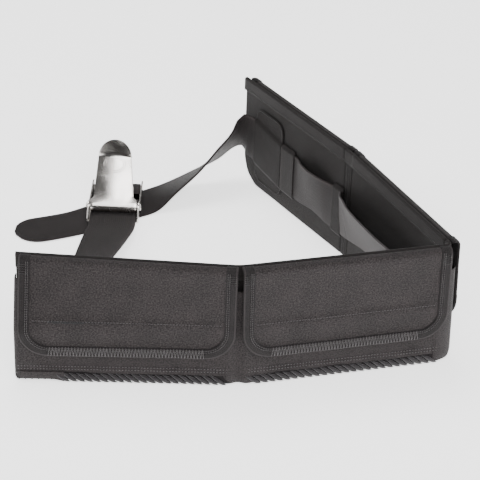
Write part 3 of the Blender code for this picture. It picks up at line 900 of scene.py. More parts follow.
def bag_plan(number, z, steps=60, corner=0.004):
    """The bag's plan line at a height, from its left side round the front to its right side."""
    left, right = bag_ends(number)
    left, right, back = left + 0.0005, right - 0.0005, -PANEL - 0.0003
    front = pocket_front_y(z) + 0.0005 - flare(number, left, z)
    made = [Vector((left, back + (front + corner - back) * k / 3, z)) for k in range(3)]
    for k in range(5):
        a = math.pi / 2 * k / 4
        made.append(Vector((left + corner - corner * math.cos(a), front + corner - corner * math.sin(a), z)))
    first, last = left + corner, right - corner
    plain = pocket_front_y(z) + 0.0005
    across = [first + (last - first) * k / steps for k in range(1, steps)]
    made += [Vector((x, plain - flare(number, x, z), z)) for x in across]
    front = plain - flare(number, right, z)
    for k in range(5):
        a = math.pi / 2 * (1 - k / 4)
        made.append(Vector((right - corner + corner * math.cos(a), front + corner - corner * math.sin(a), z)))
    made += [Vector((right, front + corner + (back - front - corner) * k / 3, z)) for k in range(1, 4)]
    return made


def bag_heights():
    return spread(POCKET_FOOT, POCKET_TOP, 36)


def settle_bags(numbers):
    """Lets each empty bag's front go slack between its seams."""
    jobs = []
    for number in numbers:
        points, outs, held, columns = [], [], [], 0
        for z in bag_heights():
            plan = bag_plan(number, z)
            columns = len(plan)
            for k, p in enumerate(plan):
                points.append(tuple(p))
                outs.append(Vector((0.0, -1.0, 0.0)))
                edge = min(k, columns - 1 - k)
                near_tape = TAPE_BAND[0] - 0.002 < z < TAPE_BAND[1] + 0.002
                taped = near_tape and TAPE_INSET < p.x < PITCH - TAPE_INSET
                free = POCKET_FOOT + 0.006 <= z <= POCKET_TOP - 0.002
                held.append(1.0 if edge < BAG_SIDE or taped or not free else 0.0)
        jobs.append((points, columns, outs, held, -0.35, 0.5, 0.0020))
    made = {}
    for number, job, moves in zip(numbers, jobs, cloth_relief(jobs)):
        columns = job[1]
        made[number] = in_rows(moves, columns)
    return made


def pocket_bag(number, matrix, relief):
    """The bag's front and sides as one piece of cloth, soft below the flap and slack behind it."""
    rows, uvs = [], []
    for r, z in enumerate(bag_heights()):
        plan = bag_plan(number, z)
        along = lengths(plan)
        row = []
        for k, p in enumerate(plan):
            side = min(1.0, min(k, len(plan) - 1 - k) / BAG_SIDE)
            swell = 0.0007 * wander(p.x, z, 0.028, number + 20) * side
            swell += 0.0009 * math.exp(-(((z - 0.021) / 0.008) ** 2)) * side
            move = relief[number][r][k] if relief else 0.0
            row.append(trimmed(number, p + Vector((0.0, -min(swell + move, MOST_SWELL), 0.0))))
        rows.append(row)
        uvs.append([(u, z) for u in along])
    shape = Shape().lattice(rows, uvs)
    made = piece(f"pocket_{number}_bag", shape, PACK_CLOTH, matrix, f"pocket_{number}")
    thicken(made, 0.0010, 1)
    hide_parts(f"pocket_{number}_front_panel")
    round_plan = lengths(bag_plan(number, 0.05))[-1]

    shape = Shape()
    for z in (0.0150, 0.0180):
        line = [trimmed(number, p + Vector((0.0, -0.0012, 0.0))) for p in bag_plan(number, z)[6:-6]]
        line = line[: -8 if number == 4 else None]
        lifts = [Vector((0.0, -1.0, 0.0))] * len(line)
        stitch_row(shape, line, lifts, pitch=0.0029, share=0.5, radius=0.00040)
    piece(f"pocket_{number}_bag_stitching", shape, STITCH, matrix, f"pocket_{number}")


def loop_strip(number, matrix):
    """The loop half, sewn across the front of the bag."""
    middle = sum(TAPE_BAND) / 2
    down = Vector((0.0, -POCKET_LEAN, -1.0)).normalized()
    out = Vector((0.0, -1.0, POCKET_LEAN)).normalized()
    stations = []
    for x in spread(TAPE_INSET, PITCH - TAPE_INSET, 40):
        point = Vector((x, pocket_front_y(middle) - 0.00045 - flare(number, x, middle), middle))
        stations.append((point, down, out))
    width = (TAPE_BAND[1] - TAPE_BAND[0]) * 0.98
    shape = Shape().sweep(stations, strip_section(width, 0.0009, 8))
    made = piece(f"pocket_{number}_loop_strip", shape, PILE, matrix, f"pocket_{number}")
    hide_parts(f"pocket_{number}_loop_tape")


def drain_net(number, matrix):
    """The net along the pocket's foot: a dark backing with twisted strands that slant across it."""
    left, right = bag_ends(number)
    profile = [
        (-0.0119, 0.0120),
        (-0.0123, 0.0090),
        (-0.0123, 0.0050),
        (-0.0116, 0.0022),
        (-0.0098, 0.0012),
        (-0.0070, 0.0010),
        (-0.0028, 0.0010),
    ]
    down = lengths([Vector((0.0, *p)) for p in profile])
    rows, uvs = [], []
    for x in spread(left, right, 50):
        row = [Vector((x, y - flare(number, x, z) * min(1.0, y / profile[0][0]), z)) for y, z in profile]
        rows.append([trimmed(number, p) for p in row])
        uvs.append([(x, v) for v in down])
    closed = [[Vector((p.x, -0.0026, p.z)) for p in end] for end in (rows[0], rows[-1])]
    rows = [closed[0], *rows, closed[1]]
    uvs = [uvs[0], *uvs, uvs[-1]]
    shape = Shape().lattice(rows, uvs)
    made = piece(f"pocket_{number}_net_backing", shape, NET_BACK, matrix, f"pocket_{number}")
    thicken(made, 0.0008, 1)
    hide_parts(f"pocket_{number}_drain_mesh")

    shape = Shape()
    last = NET_END if number == 4 else right
    first = left + (0.036 if number == 1 else 0.001)
    for k in range(int((last - first - NET_REACH) / NET_PITCH) + 1):
        x = first + k * NET_PITCH
        uneven = 0.0006 * wander(x, 0.0, 0.02, number + 40)
        strand(shape, number, x, NET_REACH, 0.0106 + uneven, 0.0012, 0.0018, 0.0012)
        x += NET_PITCH * 0.45
        strand(shape, number, x, NET_REACH * 0.85, 0.0096, 0.0014 + abs(uneven), 0.0011, 0.0009)
    last = NET_FOOT_END if number == 4 else right
    step = 0.006
    for k in range(int((last - left) / step) - 1):
        for lean in (step, -step):
            x = left + 0.004 + k * step
            a = Vector((x, -0.0112 - flare(number, x, 0.0), 0.0015))
            b = Vector((min(max(x + lean, left), last), -0.0035, 0.0015))
            thread(shape, a, b, Vector((0.0, 0.0, -1.0)), 0.0006, rings=4)
    piece(f"pocket_{number}_net_strands", shape, NET, matrix, f"pocket_{number}")
    if number == 1:
        net_corner(matrix)


def strand(shape, number, x, reach, high, low, half, out):
    """One slanting strand, thickest in its middle, which falls from high to low as it goes right.

    half and out are its greatest half width and half depth.
    """
    rows, uvs = [], []
    rings, sides = 9, 8
    along = Vector((reach, 0.0, low - high)).normalized()
    outward = Vector((0.0, -1.0, 0.0))
    across = outward.cross(along)
    for k in range(rings):
        t = k / (rings - 1)
        swell = max(0.08, math.sin(math.pi * t)) ** 0.75
        sag = 0.5 - 0.5 * math.cos(math.pi * t)
        height = high + (low - high) * (0.4 * t + 0.6 * sag)
        at = x + reach * t
        centre = trimmed(number, Vector((at, -0.0127 - 0.0006 * swell - flare(number, at, height), height)))
        ring = []
        for s in range(sides):
            a = 2 * math.pi * s / sides
            point = centre + across * (half * swell * math.cos(a)) + outward * (out * swell * math.sin(a))
            ring.append(Vector((point.x, point.y, max(point.z, 0.0003))))
        rows.append(ring)
        uvs.append([(reach * t, half * 2 * math.pi * s / sides) for s in range(sides + 1)])
    shape.lattice(rows, uvs, ring=True, caps=True)


def net_corner(matrix):
    """The plain cloth corner at the belt's buckle end, which covers the start of the net."""
    wide, top, columns = 0.046, 0.0125, 24
    rows, uvs = [], []
    for t in spread(0.0, 1.0, 8):
        row = []
        for c in range(columns + 1):
            x = -0.0034 + wide * c / columns
            foot = 0.0046 - 0.0036 * max(0.0, (c / columns - 0.45) / 0.55) ** 2
            z = top + (foot - top) * t
            round_in = 0.0026 * math.exp(-c / 1.6)
            row.append(Vector((x, -0.01345 + 0.0006 * t * t + round_in - flare(1, x, z), z)))
        rows.append(row)
        uvs.append([(p.x, p.z) for p in row])
    shape = Shape().lattice(rows, uvs)
    made = piece("pocket_1_net_corner", shape, PACK_CLOTH, matrix, "pocket_1")
    thicken(made, 0.0009, 1)


# Back panels and bindings, with the cloth that crosses each fold


def panel_profile(x, number):
    """The middle line of the back panel from its foot to its top."""
    made = []
    for z in spread(PANEL_FOOT, PANEL_TOP, 26):
        y = -PANEL / 2 - 0.00020 + 0.00020 * wander(x, z, 0.03, number + 60)
        made.append(Vector((0.0, y, z)))
    return made


def back_panel(number, matrix):
    """The panel that the pocket is sewn to, in the belt's lining cloth."""
    first = -BELT_END if number == 1 else PITCH - PANEL_END
    last = PITCH + BELT_END if number == 4 else PANEL_END
    rows, uvs = [], []
    for x in spread(first, last, 60):
        row = [Vector((x, p.y, p.z)) for p in panel_profile(x, number)]
        if number == 4:
            row = [round_corner(p, PITCH + BELT_END) for p in row]
        rows.append(row)
        uvs.append([(p.x, p.z) for p in row])
    shape = Shape().lattice(rows, uvs)
    made = piece(f"pocket_{number}_lining", shape, LINING, matrix, f"pocket_{number}")
    thicken(made, 0.0020, 1)
    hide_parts(f"pocket_{number}_back_panel")


def round_corner(p, end, radius=0.034):
    """Pulls a point in behind the round lower corner at the belt's free end."""
    if p.z >= radius:
        return p
    limit = end - radius + math.sqrt(max(0.0, radius * radius - (radius - p.z) ** 2))
    return Vector((min(p.x, limit), p.y, p.z))


def binding_section():
    """Tape rolled over the panel's top edge, as (inward, height)."""
    inner, outer, foot = 0.0012, -0.0036, BINDING_FOOT
    middle, radius = (inner + outer) / 2, (inner - outer) / 2
    crest = 0.1238 - radius * 0.85
    made = [(outer + 0.0004, foot), (outer, foot + 0.0006), (outer, 0.1130), (outer, crest)]
    for k in range(1, 8):
        a = math.pi * k / 8
        made.append((middle - radius * math.cos(a), crest + radius * 0.85 * math.sin(a)))
    return made + [(inner, crest), (inner, 0.1130), (inner, foot + 0.0006), (inner - 0.0004, foot)]


def fold_line(number, reach, steps=14):
    """Plan stations (point, inward) round the fold after a pocket, from that reach before it to after it."""
    here, there = MODULES[number], MODULES[number + 1]
    a, b, c = here @ Vector((PITCH - reach, 0.0, 0.0)), there.translation, there @ Vector((reach, 0.0, 0.0))
    made = []
    for k in range(steps + 1):
        t = k / steps
        point = a * (1 - t) ** 2 + b * (2 * t * (1 - t)) + c * t**2
        along = ((b - a) * (1 - t) + (c - b) * t).normalized()
        made.append((point, UP.cross(along)))
    return made


def top_binding(number, matrix):
    """The tape over the back panel's top edge, with a row of stitches on each side."""
    first = -BELT_END if number == 1 else PITCH - PANEL_END
    last = PITCH + BELT_END + 0.001 if number == 4 else PANEL_END
    places = spread(first, last, 40)
    stations = []
    for x in places:
        point = Vector((x, 0.0, 0.00008 * wander(x, 0.0, 0.02, number)))
        stations.append((point, Vector((0.0, 1.0, 0.0)), UP))
    shape = Shape().sweep(stations, binding_section())
    made = piece(f"pocket_{number}_binding", shape, BINDING, matrix, f"pocket_{number}")
    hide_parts(f"pocket_{number}_top_binding")
    shape = Shape()
    for y, out in ((0.0013, 1.0), (-0.0037, -1.0)):
        line = [Vector((x, y, BINDING_FOOT + 0.0026)) for x in places]
        lifts = [Vector((0.0, out, 0.0))] * len(line)
        stitch_row(shape, line, lifts, pitch=0.0030, share=0.72, radius=0.00030)
    piece(f"pocket_{number}_binding_stitching", shape, DARK_STITCH, matrix, f"pocket_{number}")


def fold_pieces(number):
    """Lining, binding and seams that carry on across the fold after a pocket."""
    a, b, fold = f"pocket_{number}", f"pocket_{number + 1}", f"fold_{number}_{number + 1}"
    reach = PITCH - PANEL_END
    line = fold_line(number, reach)
    along = lengths([p for p, _ in line])

    rows, uvs = [], []
    for (point, inward), u in zip(line, along):
        x = PANEL_END + u
        profile = panel_profile(x, number)
        rows.append([point + inward * p.y + UP * p.z for p in profile])
        uvs.append([(x, p.z) for p in profile])
    made = piece(f"{fold}_lining", Shape().lattice(rows, uvs), LINING)
    thicken(made, 0.0020, 1)
    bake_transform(made)

    stations = [(point, inward, UP) for point, inward in line]
    shape = Shape().sweep(stations, binding_section())
    made = piece(f"{fold}_binding", shape, BINDING)
    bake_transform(made)

    shape = Shape()
    seam = [point + inward * 0.0004 for point, inward in line]
    for k in (5, 9):
        inward = line[k][1]
        upright = [seam[k] + UP * height for height in spread(0.004, 0.106, 40)]
        stitch_row(shape, upright, [inward] * len(upright), pitch=0.0029, share=0.7, radius=0.0003)
    made = piece(f"{fold}_stitching", shape, DARK_STITCH)
    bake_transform(made)


def fold_gusset(number):
    """The cloth between two neighbouring bags, tucked in at the fold and at its foot."""
    here, there = MODULES[number], MODULES[number + 1]
    outward = -((here.to_3x3() @ Vector((0, 1, 0))) + (there.to_3x3() @ Vector((0, 1, 0)))).normalized()
    foot, top, count = 0.0016, 0.100, 24
    heights = [foot, 0.0036, 0.0070] + spread(POCKET_FOOT, top, 16)
    rows, uvs = [], []
    for z in heights:
        front = pocket_front_y(max(z, POCKET_FOOT)) - 0.0003
        tuck = 0.0022 * max(0.0, 1.0 - z / 0.009) ** 2
        stops = [
            here @ Vector((PITCH - 0.0115, front + tuck, z)),
            here @ Vector((PITCH - 0.0060, front + tuck + 0.0001, z)),
            there.translation + outward * (-front * 0.74 - tuck) + UP * z,
            there @ Vector((0.0060, front + tuck + 0.0001, z)),
            there @ Vector((0.0115, front + tuck, z)),
        ]
        row = [p.xyz for p in smooth([(p, 0.0) for p in stops], 0.0012)]
        along = lengths(row)
        even = [point_at(row, along, along[-1] * k / count) for k in range(count + 1)]
        rows.append(even)
        uvs.append([(along[-1] * k / count, z) for k in range(count + 1)])
    shape = Shape().lattice(rows, uvs)
    made = piece(f"fold_{number}_{number + 1}_gusset", shape, PACK_CLOTH)
    thicken(made, 0.0009, 1)
    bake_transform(made)


def point_at(line, along, distance):
    """The point that far along a line of points."""
    k = next((i for i in range(1, len(along)) if along[i] >= distance), len(along) - 1)
    t = (distance - along[k - 1]) / max(along[k] - along[k - 1], 1e-9)
    return line[k - 1].lerp(line[k], min(1.0, max(0.0, t)))


# Webbing: a route is a list of (place, lean), where lean turns the strap's width from upright


def smooth(route, spacing=0.004):
    """Points on a centripetal Catmull-Rom curve through the route, at about an even spacing."""
    places = [Vector((*place, math.radians(lean))) for place, lean in route]
    places = [2 * places[0] - places[1], *places, 2 * places[-1] - places[-2]]

    def gap(a, b):
        return math.sqrt(max((b.xyz - a.xyz).length, 1e-6))

    made = []
    for a, b, c, d in zip(places, places[1:], places[2:], places[3:]):
        t0, t1 = 0.0, gap(a, b)
        t2 = t1 + gap(b, c)
        t3 = t2 + gap(c, d)
        steps = max(1, round((c.xyz - b.xyz).length / spacing))
        for k in range(steps):
            t = t1 + (t2 - t1) * k / steps
            a1 = a * ((t1 - t) / (t1 - t0)) + b * ((t - t0) / (t1 - t0))
            a2 = b * ((t2 - t) / (t2 - t1)) + c * ((t - t1) / (t2 - t1))
            a3 = c * ((t3 - t) / (t3 - t2)) + d * ((t - t2) / (t3 - t2))
            b1 = a1 * ((t2 - t) / (t2 - t0)) + a2 * ((t - t0) / (t2 - t0))
            b2 = a2 * ((t3 - t) / (t3 - t1)) + a3 * ((t - t1) / (t3 - t1))
            made.append(b1 * ((t2 - t) / (t2 - t1)) + b2 * ((t - t1) / (t2 - t1)))
    made.append(places[-2])
    return made


def strap_stations(points):
    """(point, across, out) along a smoothed route."""
    places = [p.xyz for p in points]
    made = []
    for k, point in enumerate(points):
        along = (places[min(k + 1, len(places) - 1)] - places[max(k - 1, 0)]).normalized()
        level = along.cross(UP)
        level = level.normalized() if level.length > 1e-6 else Vector((1.0, 0.0, 0.0))
        upright = level.cross(along).normalized()
        across = upright * math.cos(point.w) + level * math.sin(point.w)
        made.append((places[k], across, along.cross(across).normalized()))
    return made


def on_module(number, steps):
    """Steps given in a pocket's own frame."""
    return [(MODULES[number] @ Vector(s[:3]), s[3]) for s in steps]


def on_belt(steps):
    """Steps given from the belt's first fold."""
    return [(FOLD + Vector(s[:3]), s[3]) for s in steps]


FRAME_LOW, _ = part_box("buckle_frame")
FRAME_MIDDLE_X = sum(corner.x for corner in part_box("buckle_frame")) / 2


def through_frame():
    """The strap's way through the buckle frame, from its near edge."""
    plate, under, ease = 0.0029, -0.0014, 0.0002
    steps = [
        (-0.012, plate),
        (0.004, plate),
        (0.022, plate),
        (0.042, plate),
        (0.046, plate - ease),
        (0.054, under + ease),
        (0.061, under + ease),
        (0.069, plate - ease),
        (0.073, plate),
        (0.083, plate),
    ]
    return [(Vector((FRAME_MIDDLE_X, FRAME_LOW.y + y, FRAME_LOW.z + z)), 90.0) for y, z in steps]


ROUTES = {
    1: on_module(
        1,
        [
            (0.190, WEBBING_Y, WEBBING_Z, 0.0),
            (0.110, WEBBING_Y, WEBBING_Z, 0.0),
            (0.028, WEBBING_Y, WEBBING_Z, 0.0),
            (0.022, WEBBING_Y, WEBBING_Z, 0.0),
            (0.0150, 0.0028, WEBBING_Z, 0.0),
            (0.0105, 0.0070, 0.0495, 0.0),
            (0.0090, 0.0160, 0.0475, 2.0),
        ],
    )
    + on_belt(
        [
            (-0.1840, 0.052, 0.0385, 13.0),
            (-0.1745, 0.087, 0.0290, 30.0),
            (-0.1640, 0.125, 0.0215, 46.0),
            (-0.1535, 0.165, 0.0155, 61.0),
            (-0.1480, 0.205, 0.0115, 74.0),
            (-0.1430, 0.240, 0.0090, 84.0),
        ]
    )
    + through_frame(),
    2: on_module(
        2,
        [
            (0.010, WEBBING_Y, WEBBING_Z, 0.0),
            (0.026, 0.0017, WEBBING_Z, 0.0),
            (0.060, 0.0040, 0.0510, -4.0),
            (0.100, 0.0052, 0.0515, -6.0),
            (0.140, 0.0040, 0.0510, -4.0),
            (0.174, 0.0017, WEBBING_Z, 0.0),
            (0.190, WEBBING_Y, WEBBING_Z, 0.0),
        ],
    ),
    3: on_module(
        3,
        [
            (0.010, WEBBING_Y, WEBBING_Z, 0.0),
            (0.026, 0.0018, WEBBING_Z, 0.0),
            (0.060, 0.0088, 0.0540, -14.0),
            (0.095, 0.0122, 0.0570, -21.0),
            (0.130, 0.0130, 0.0590, -23.0),
            (0.160, 0.0120, 0.0580, -20.0),
            (0.180, 0.0088, 0.0550, -14.0),
            (0.190, 0.0072, 0.0530, -11.0),
        ],
    ),
    4: on_module(
        4,
        [
            (0.010, WEBBING_Y, WEBBING_Z, 0.0),
            (0.024, 0.0018, WEBBING_Z, 0.0),
            (0.040, 0.0050, 0.0520, -7.0),
            (0.058, 0.0066, 0.0530, -10.0),
            (0.076, 0.0046, 0.0515, -6.0),
            (0.090, 0.0018, WEBBING_Z, 0.0),
            (0.100, WEBBING_Y, WEBBING_Z, 0.0),
            (0.120, WEBBING_Y, WEBBING_Z, 0.0),
            (0.150, WEBBING_Y, 0.0540, 0.0),
            (0.178, WEBBING_Y, 0.0580, 0.0),
            (0.186, 0.0023, 0.0592, 0.0),
            (0.194, 0.0046, 0.0600, -5.0),
            (0.1968, 0.0096, 0.0591, -25.0),
        ],
    )
    + on_belt(
        [
            (-0.0281, 0.3796, 0.0420, -41.4),
            (-0.0558, 0.3629, 0.0245, -60.0),
            (-0.0830, 0.3475, 0.0110, -73.5),
            (-0.1045, 0.3345, 0.0024, -88.0),
            (-0.1270, 0.3190, 0.0015, -90.0),
            (-0.1520, 0.302, 0.0015, -90.0),
            (-0.1760, 0.284, 0.0015, -90.0),
            (-0.2060, 0.269, 0.0016, -90.5),
            (-0.2400, 0.256, 0.0017, -91.0),
        ]
    ),
}


def strap(number, finish):
    """One pocket's length of the strap, with a round end on the last."""
    stations = strap_stations(smooth(ROUTES[number]))
    along = lengths([s[0] for s in stations])
    scales = None
    if number == 4:
        scales = []
        for u in along:
            share = max(0.0, 1.0 - (along[-1] - u) / TIP_LENGTH)
            scales.append((max(0.14, math.sqrt(max(0.0, 1.0 - share * share))), 1.0 if share < 0.97 else 0.7))
    section = strip_section(WEBBING, WEBBING_THICKNESS, 10)
    shape = Shape().sweep(stations, section, scales)
    made = piece(f"strap_{number}", shape, finish, body=f"pocket_{number}")
    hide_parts(f"webbing_{number}")
    return stations


def fold_strap(number, before, after, finish):
    """The strap across the fold after a pocket."""
    start, end = before[0], after[0]
    corner = (start + end) / 2
    if number == 2:
        corner = MODULES[3] @ Vector((0.0025, 0.0030, WEBBING_Z))
    stations = []
    for t in spread(0.0, 1.0, 12):
        point = start * (1 - t) ** 2 + corner * (2 * t * (1 - t)) + end * t**2
        across = before[1].lerp(after[1], t).normalized()
        along = ((corner - start) * (1 - t) + (end - corner) * t).normalized()
        stations.append((point, across, along.cross(across).normalized()))
    section = strip_section(WEBBING, WEBBING_THICKNESS, 10)
    shape = Shape().sweep(stations, section)
    made = piece(f"fold_{number}_{number + 1}_strap", shape, finish)
    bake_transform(made)


# Keepers

# Towards its free end the strap climbs at this slope behind the wide keeper, from this x on
STRAP_CLIMB = 0.138
STRAP_CLIMB_START = 0.120


def keeper(name, number, first, last, low, high, corner, node):
    """Cloth or webbing sewn flat above and below the strap, and raised over it."""
    matrix, foot, face = MODULES[number], 0.0009, 0.0036
    rise_low, rise_high = WEBBING_Z - WEBBING / 2, WEBBING_Z + WEBBING / 2
    climb = STRAP_CLIMB if number == 4 and corner > 0.004 else 0.0
    ease, steps, columns = 0.0035, 44, 14
    rows, uvs = [], []
    for r in range(steps + 1):
        z = low + (high - low) * r / steps
        near = min(z - low, high - z)
        pull = corner - math.sqrt(max(0.0, corner**2 - (corner - near) ** 2)) if near < corner else 0.0
        row = []
        for c in range(columns + 1):
            x = first + pull + (last - first - 2 * pull) * c / columns
            at = z - climb * max(0.0, x - STRAP_CLIMB_START)
            up = min(1.0, max(0.0, (at - rise_low + ease) / ease))
            up *= min(1.0, max(0.0, (rise_high + ease - at) / ease))
            y = foot + (face - foot) * up * up * (3 - 2 * up)
            row.append(Vector((x, y + 0.00012 * wander(x, z, 0.01, number), z)))
        rows.append(row)
        uvs.append([(p.z, p.x) for p in row])
    finish = BINDING if name.startswith("stop") else LINING
    made = piece(name, Shape().lattice(rows, uvs), finish, matrix, f"pocket_{number}")
    thicken(made, 0.0009, 1)
    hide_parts(node)

    shape = Shape()
    lift = Vector((0.0, 1.0, 0.0))
    rim, above = 0.0022, 0.0016
    inner = max(corner - rim, 0.0005)
    for top in (False, True):
        edge = high - rim if top else low + rim
        sign = -1.0 if top else 1.0
        stop = rise_high + 0.005 if top else rise_low - 0.005
        line = []
        if (stop - edge) * sign > 0.002:
            line.append(Vector((first + rim, above, stop)))
        for a in spread(0.0, math.pi / 2, 6):
            x = first + rim + inner * (1 - math.cos(a))
            line.append(Vector((x, above, edge + sign * inner * (1 - math.sin(a)))))
        line += [Vector((first + last - p.x, p.y, p.z)) for p in line[::-1]]
        stitch_row(shape, line, [lift] * len(line), pitch=0.0026, share=0.72, radius=0.00034)
    piece(name + "_stitching", shape, DARK_STITCH, matrix, f"pocket_{number}")


# Buckle


def bevelled(node, name, width, segments):
    """A copy of a CAD node with its edges rounded, in the finish that the real one has."""
    source = frame["nodes"][node]
    mesh = source.data.copy()
    mesh.name = name
    made = bpy.data.objects.new(name, mesh)
    SCENE.collection.objects.link(made)
    shape = bmesh.new()
    shape.from_mesh(mesh)
    bmesh.ops.remove_doubles(shape, verts=shape.verts, dist=0.00002)
    bmesh.ops.dissolve_limit(shape, angle_limit=math.radians(1.0), verts=shape.verts, edges=shape.edges)
    shape.to_mesh(mesh)
    shape.free()
    mesh.materials.clear()
    mesh.materials.append(STEEL)
    mesh.shade_smooth()
    edge = made.modifiers.new("bevel", "BEVEL")
    edge.width = width
    edge.segments = segments
    edge.limit_method = "ANGLE"
    edge.angle_limit = math.radians(32)
    flat = made.modifiers.new("flat", "WEIGHTED_NORMAL")
    flat.weight = 100
    flat.keep_sharp = True
    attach(made, source["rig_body"])
    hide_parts(node)


LEVER_PIVOT = Vector(next(j for j in frame["joints"] if j["name"] == "lever_hinge")["pos_m"])
LEVER_OPEN = 60.0
LEVER_ROLL = 0.0053
LEVER_SHEET = 0.0014
LEVER_FLAT = 0.0525
LEVER_LIP = 0.0200
LEVER_ROOT_HALF = 0.0247
LEVER_WAIST_HALF = 0.0214
LEVER_LIP_HALF = 0.0178
LEVER_SHOULDER = 0.009
LEVER_FALL = -3.0
LEVER_RISE = 17.0
LEVER_ARCH = 0.0007
LEVER_CROWN = 0.0013
ROLL_STEPS = 24
FLAT_STEPS = 36
LIP_STEPS = 26


def lever_line():
    """The lever's side outline from its cam roll to its tip, as (y, z, outward, half width)."""
    made = []
    for k in range(ROLL_STEPS + 1):
        a = math.radians(-70 - 200 * k / ROLL_STEPS)
        out = (math.cos(a), math.sin(a))
        made.append((LEVER_ROLL * out[0], LEVER_ROLL * out[1], out, LEVER_ROOT_HALF))
    fall = math.radians(LEVER_FALL)
    y0, z0 = made[-1][0], made[-1][1]
    for k in range(1, FLAT_STEPS + 1):
        s = LEVER_FLAT * k / FLAT_STEPS
        arch = LEVER_ARCH * math.sin(math.pi * s / LEVER_FLAT)
        tilt = fall + math.atan(LEVER_ARCH * math.pi / LEVER_FLAT * math.cos(math.pi * s / LEVER_FLAT))
        ease = min(1.0, max(0.0, (s - 0.0065) / 0.0035))
        ease = ease * ease * (3.0 - 2.0 * ease)
        share = max(0.0, s - LEVER_SHOULDER) / (LEVER_FLAT - LEVER_SHOULDER)
        waist = LEVER_WAIST_HALF + (LEVER_LIP_HALF - LEVER_WAIST_HALF) * share
        half = LEVER_ROOT_HALF + (waist - LEVER_ROOT_HALF) * ease
        out = (-math.sin(tilt), math.cos(tilt))
        y = y0 + s * math.cos(fall) - arch * math.sin(fall)
        z = z0 + s * math.sin(fall) + arch * math.cos(fall)
        made.append((y, z, out, half))
    last = 0.0
    for k in range(1, LIP_STEPS + 1):
        share = math.sin(math.radians(90 * k / LIP_STEPS))
        bend = fall + (math.radians(LEVER_RISE) - fall) * min(1.0, share / 0.35)
        y += LEVER_LIP * (share - last) * math.cos(bend)
        z += LEVER_LIP * (share - last) * math.sin(bend)
        last = share
        half = LEVER_LIP_HALF * math.sqrt(max(0.0016, 1.0 - share**2.1))
        made.append((y, z, (-math.sin(bend), math.cos(bend)), half))
    return made


def cam_lever():
    """The lever as one bent sheet with crowned faces, a cheek at each end of its roll and an oval bead."""
    matrix = Matrix.Translation(LEVER_PIVOT) @ Matrix.Rotation(math.radians(LEVER_OPEN), 4, "X")
    columns = 16
    line = lever_line()
    rows, uvs = [], []
    lip = ROLL_STEPS + 1 + FLAT_STEPS
    for k, (y, z, (oy, oz), half) in enumerate(line):
        flat = min(1.0, max(0.0, k - ROLL_STEPS - 2) / 6) * (1.0 - 0.9 * min(1.0, max(0.0, k - lip) / 3))
        row = []
        for c in range(columns + 1):
            t = 2.0 * c / columns - 1.0
            bow = -LEVER_CROWN * (half * t / LEVER_LIP_HALF) ** 2 * flat
            row.append(Vector((half * t, y + oy * bow, z + oz * bow)))
        rows.append(row)
        uvs.append([(p.x, 0.0015 * k) for p in row])
    made = piece("cam_lever", Shape().lattice(rows, uvs), STEEL, matrix, "lever")
    thicken(made, LEVER_SHEET)
    edge = made.modifiers.new("bevel", "BEVEL")
    edge.width = 0.00045
    edge.segments = 3
    edge.limit_method = "ANGLE"
    edge.angle_limit = math.radians(40)
    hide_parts("buckle_lever")

    shape = Shape()
    for end in (-1, 1):
        low, high = LEVER_ROOT_HALF - LEVER_SHEET, LEVER_ROOT_HALF
        bore, radius, soft = 0.0024, 0.0060, 0.0003
        inside = [(low, bore), (low, radius - soft), (low + soft, radius)]
        outside = [(high - soft, radius), (high, radius - soft), (high, bore)]
        profile = inside + outside
        rows, uvs = [], []
        for k in range(33):
            a = 2 * math.pi * k / 32
            rows.append([Vector((end * x, r * math.cos(a), r * math.sin(a))) for x, r in profile])
            uvs.append([(radius * a, x) for x, _ in profile])
        shape.lattice(rows, uvs)
    piece("cam_cheeks", shape, STEEL, matrix, "lever")

    face = [p for p in line if p[3] < LEVER_WAIST_HALF and p[2][1] > 0.9]
    my, mz, (oy, oz), _ = face[len(face) // 2 - 4]
    shape = Shape()
    bead = [(0.00030 * math.cos(math.pi * k / 4), 0.00028 * math.sin(math.pi * k / 4)) for k in range(8)]
    middle = Vector((0.0, my, mz))
    out = Vector((0.0, oy, oz))
    down = Vector((0.0, oz, -oy))
    for wide, tall in ((0.0118, 0.0088), (0.0096, 0.0068)):
        stations = []
        for k in range(49):
            a = 2 * math.pi * k / 48
            across = Vector((math.cos(a), 0.0, 0.0)) + down * math.sin(a)
            point = middle + Vector((wide * math.cos(a), 0.0, 0.0)) + down * (tall * math.sin(a))
            sunk = LEVER_CROWN * (wide * math.cos(a) / LEVER_LIP_HALF) ** 2
            stations.append((point + out * (LEVER_SHEET / 2 - 0.0001 - sunk), across, out))
        shape.sweep(stations, bead)
    piece("cam_lever_bead", shape, STEEL, matrix, "lever")


# Assembly


def build_pockets():
    flaps = [Flap(number) for number in MODULES]
    relief = None
    settle_flaps(flaps)
    relief = settle_bags(list(MODULES))
    for flap in flaps:
        number, matrix = flap.number, MODULES[flap.number]
        back_panel(number, matrix)
        top_binding(number, matrix)
        pocket_bag(number, matrix, relief)
        drain_net(number, matrix)
        loop_strip(number, matrix)
        flap_cloth(flap, matrix)
        flap_edge_tape(flap, matrix)
        flap_stitching(flap, matrix)
        hinge_strip(number, matrix)
        hook_strip(flap, matrix)


def build_straps():
    # Straps 2 and 3 and the lengths across the folds wear the paler copy of the webbing, which is painted
    # sheen.
    finishes = {1: STRAP, 2: SHEEN_PAINTED_STRAP, 3: SHEEN_PAINTED_STRAP, 4: STRAP}
    stations = {number: strap(number, finishes[number]) for number in ROUTES}
    fold_strap(1, stations[1][0], stations[2][0], SHEEN_PAINTED_STRAP)
    fold_strap(2, stations[2][-1], stations[3][0], SHEEN_PAINTED_STRAP)
    fold_strap(3, stations[3][-1], stations[4][0], SHEEN_PAINTED_STRAP)


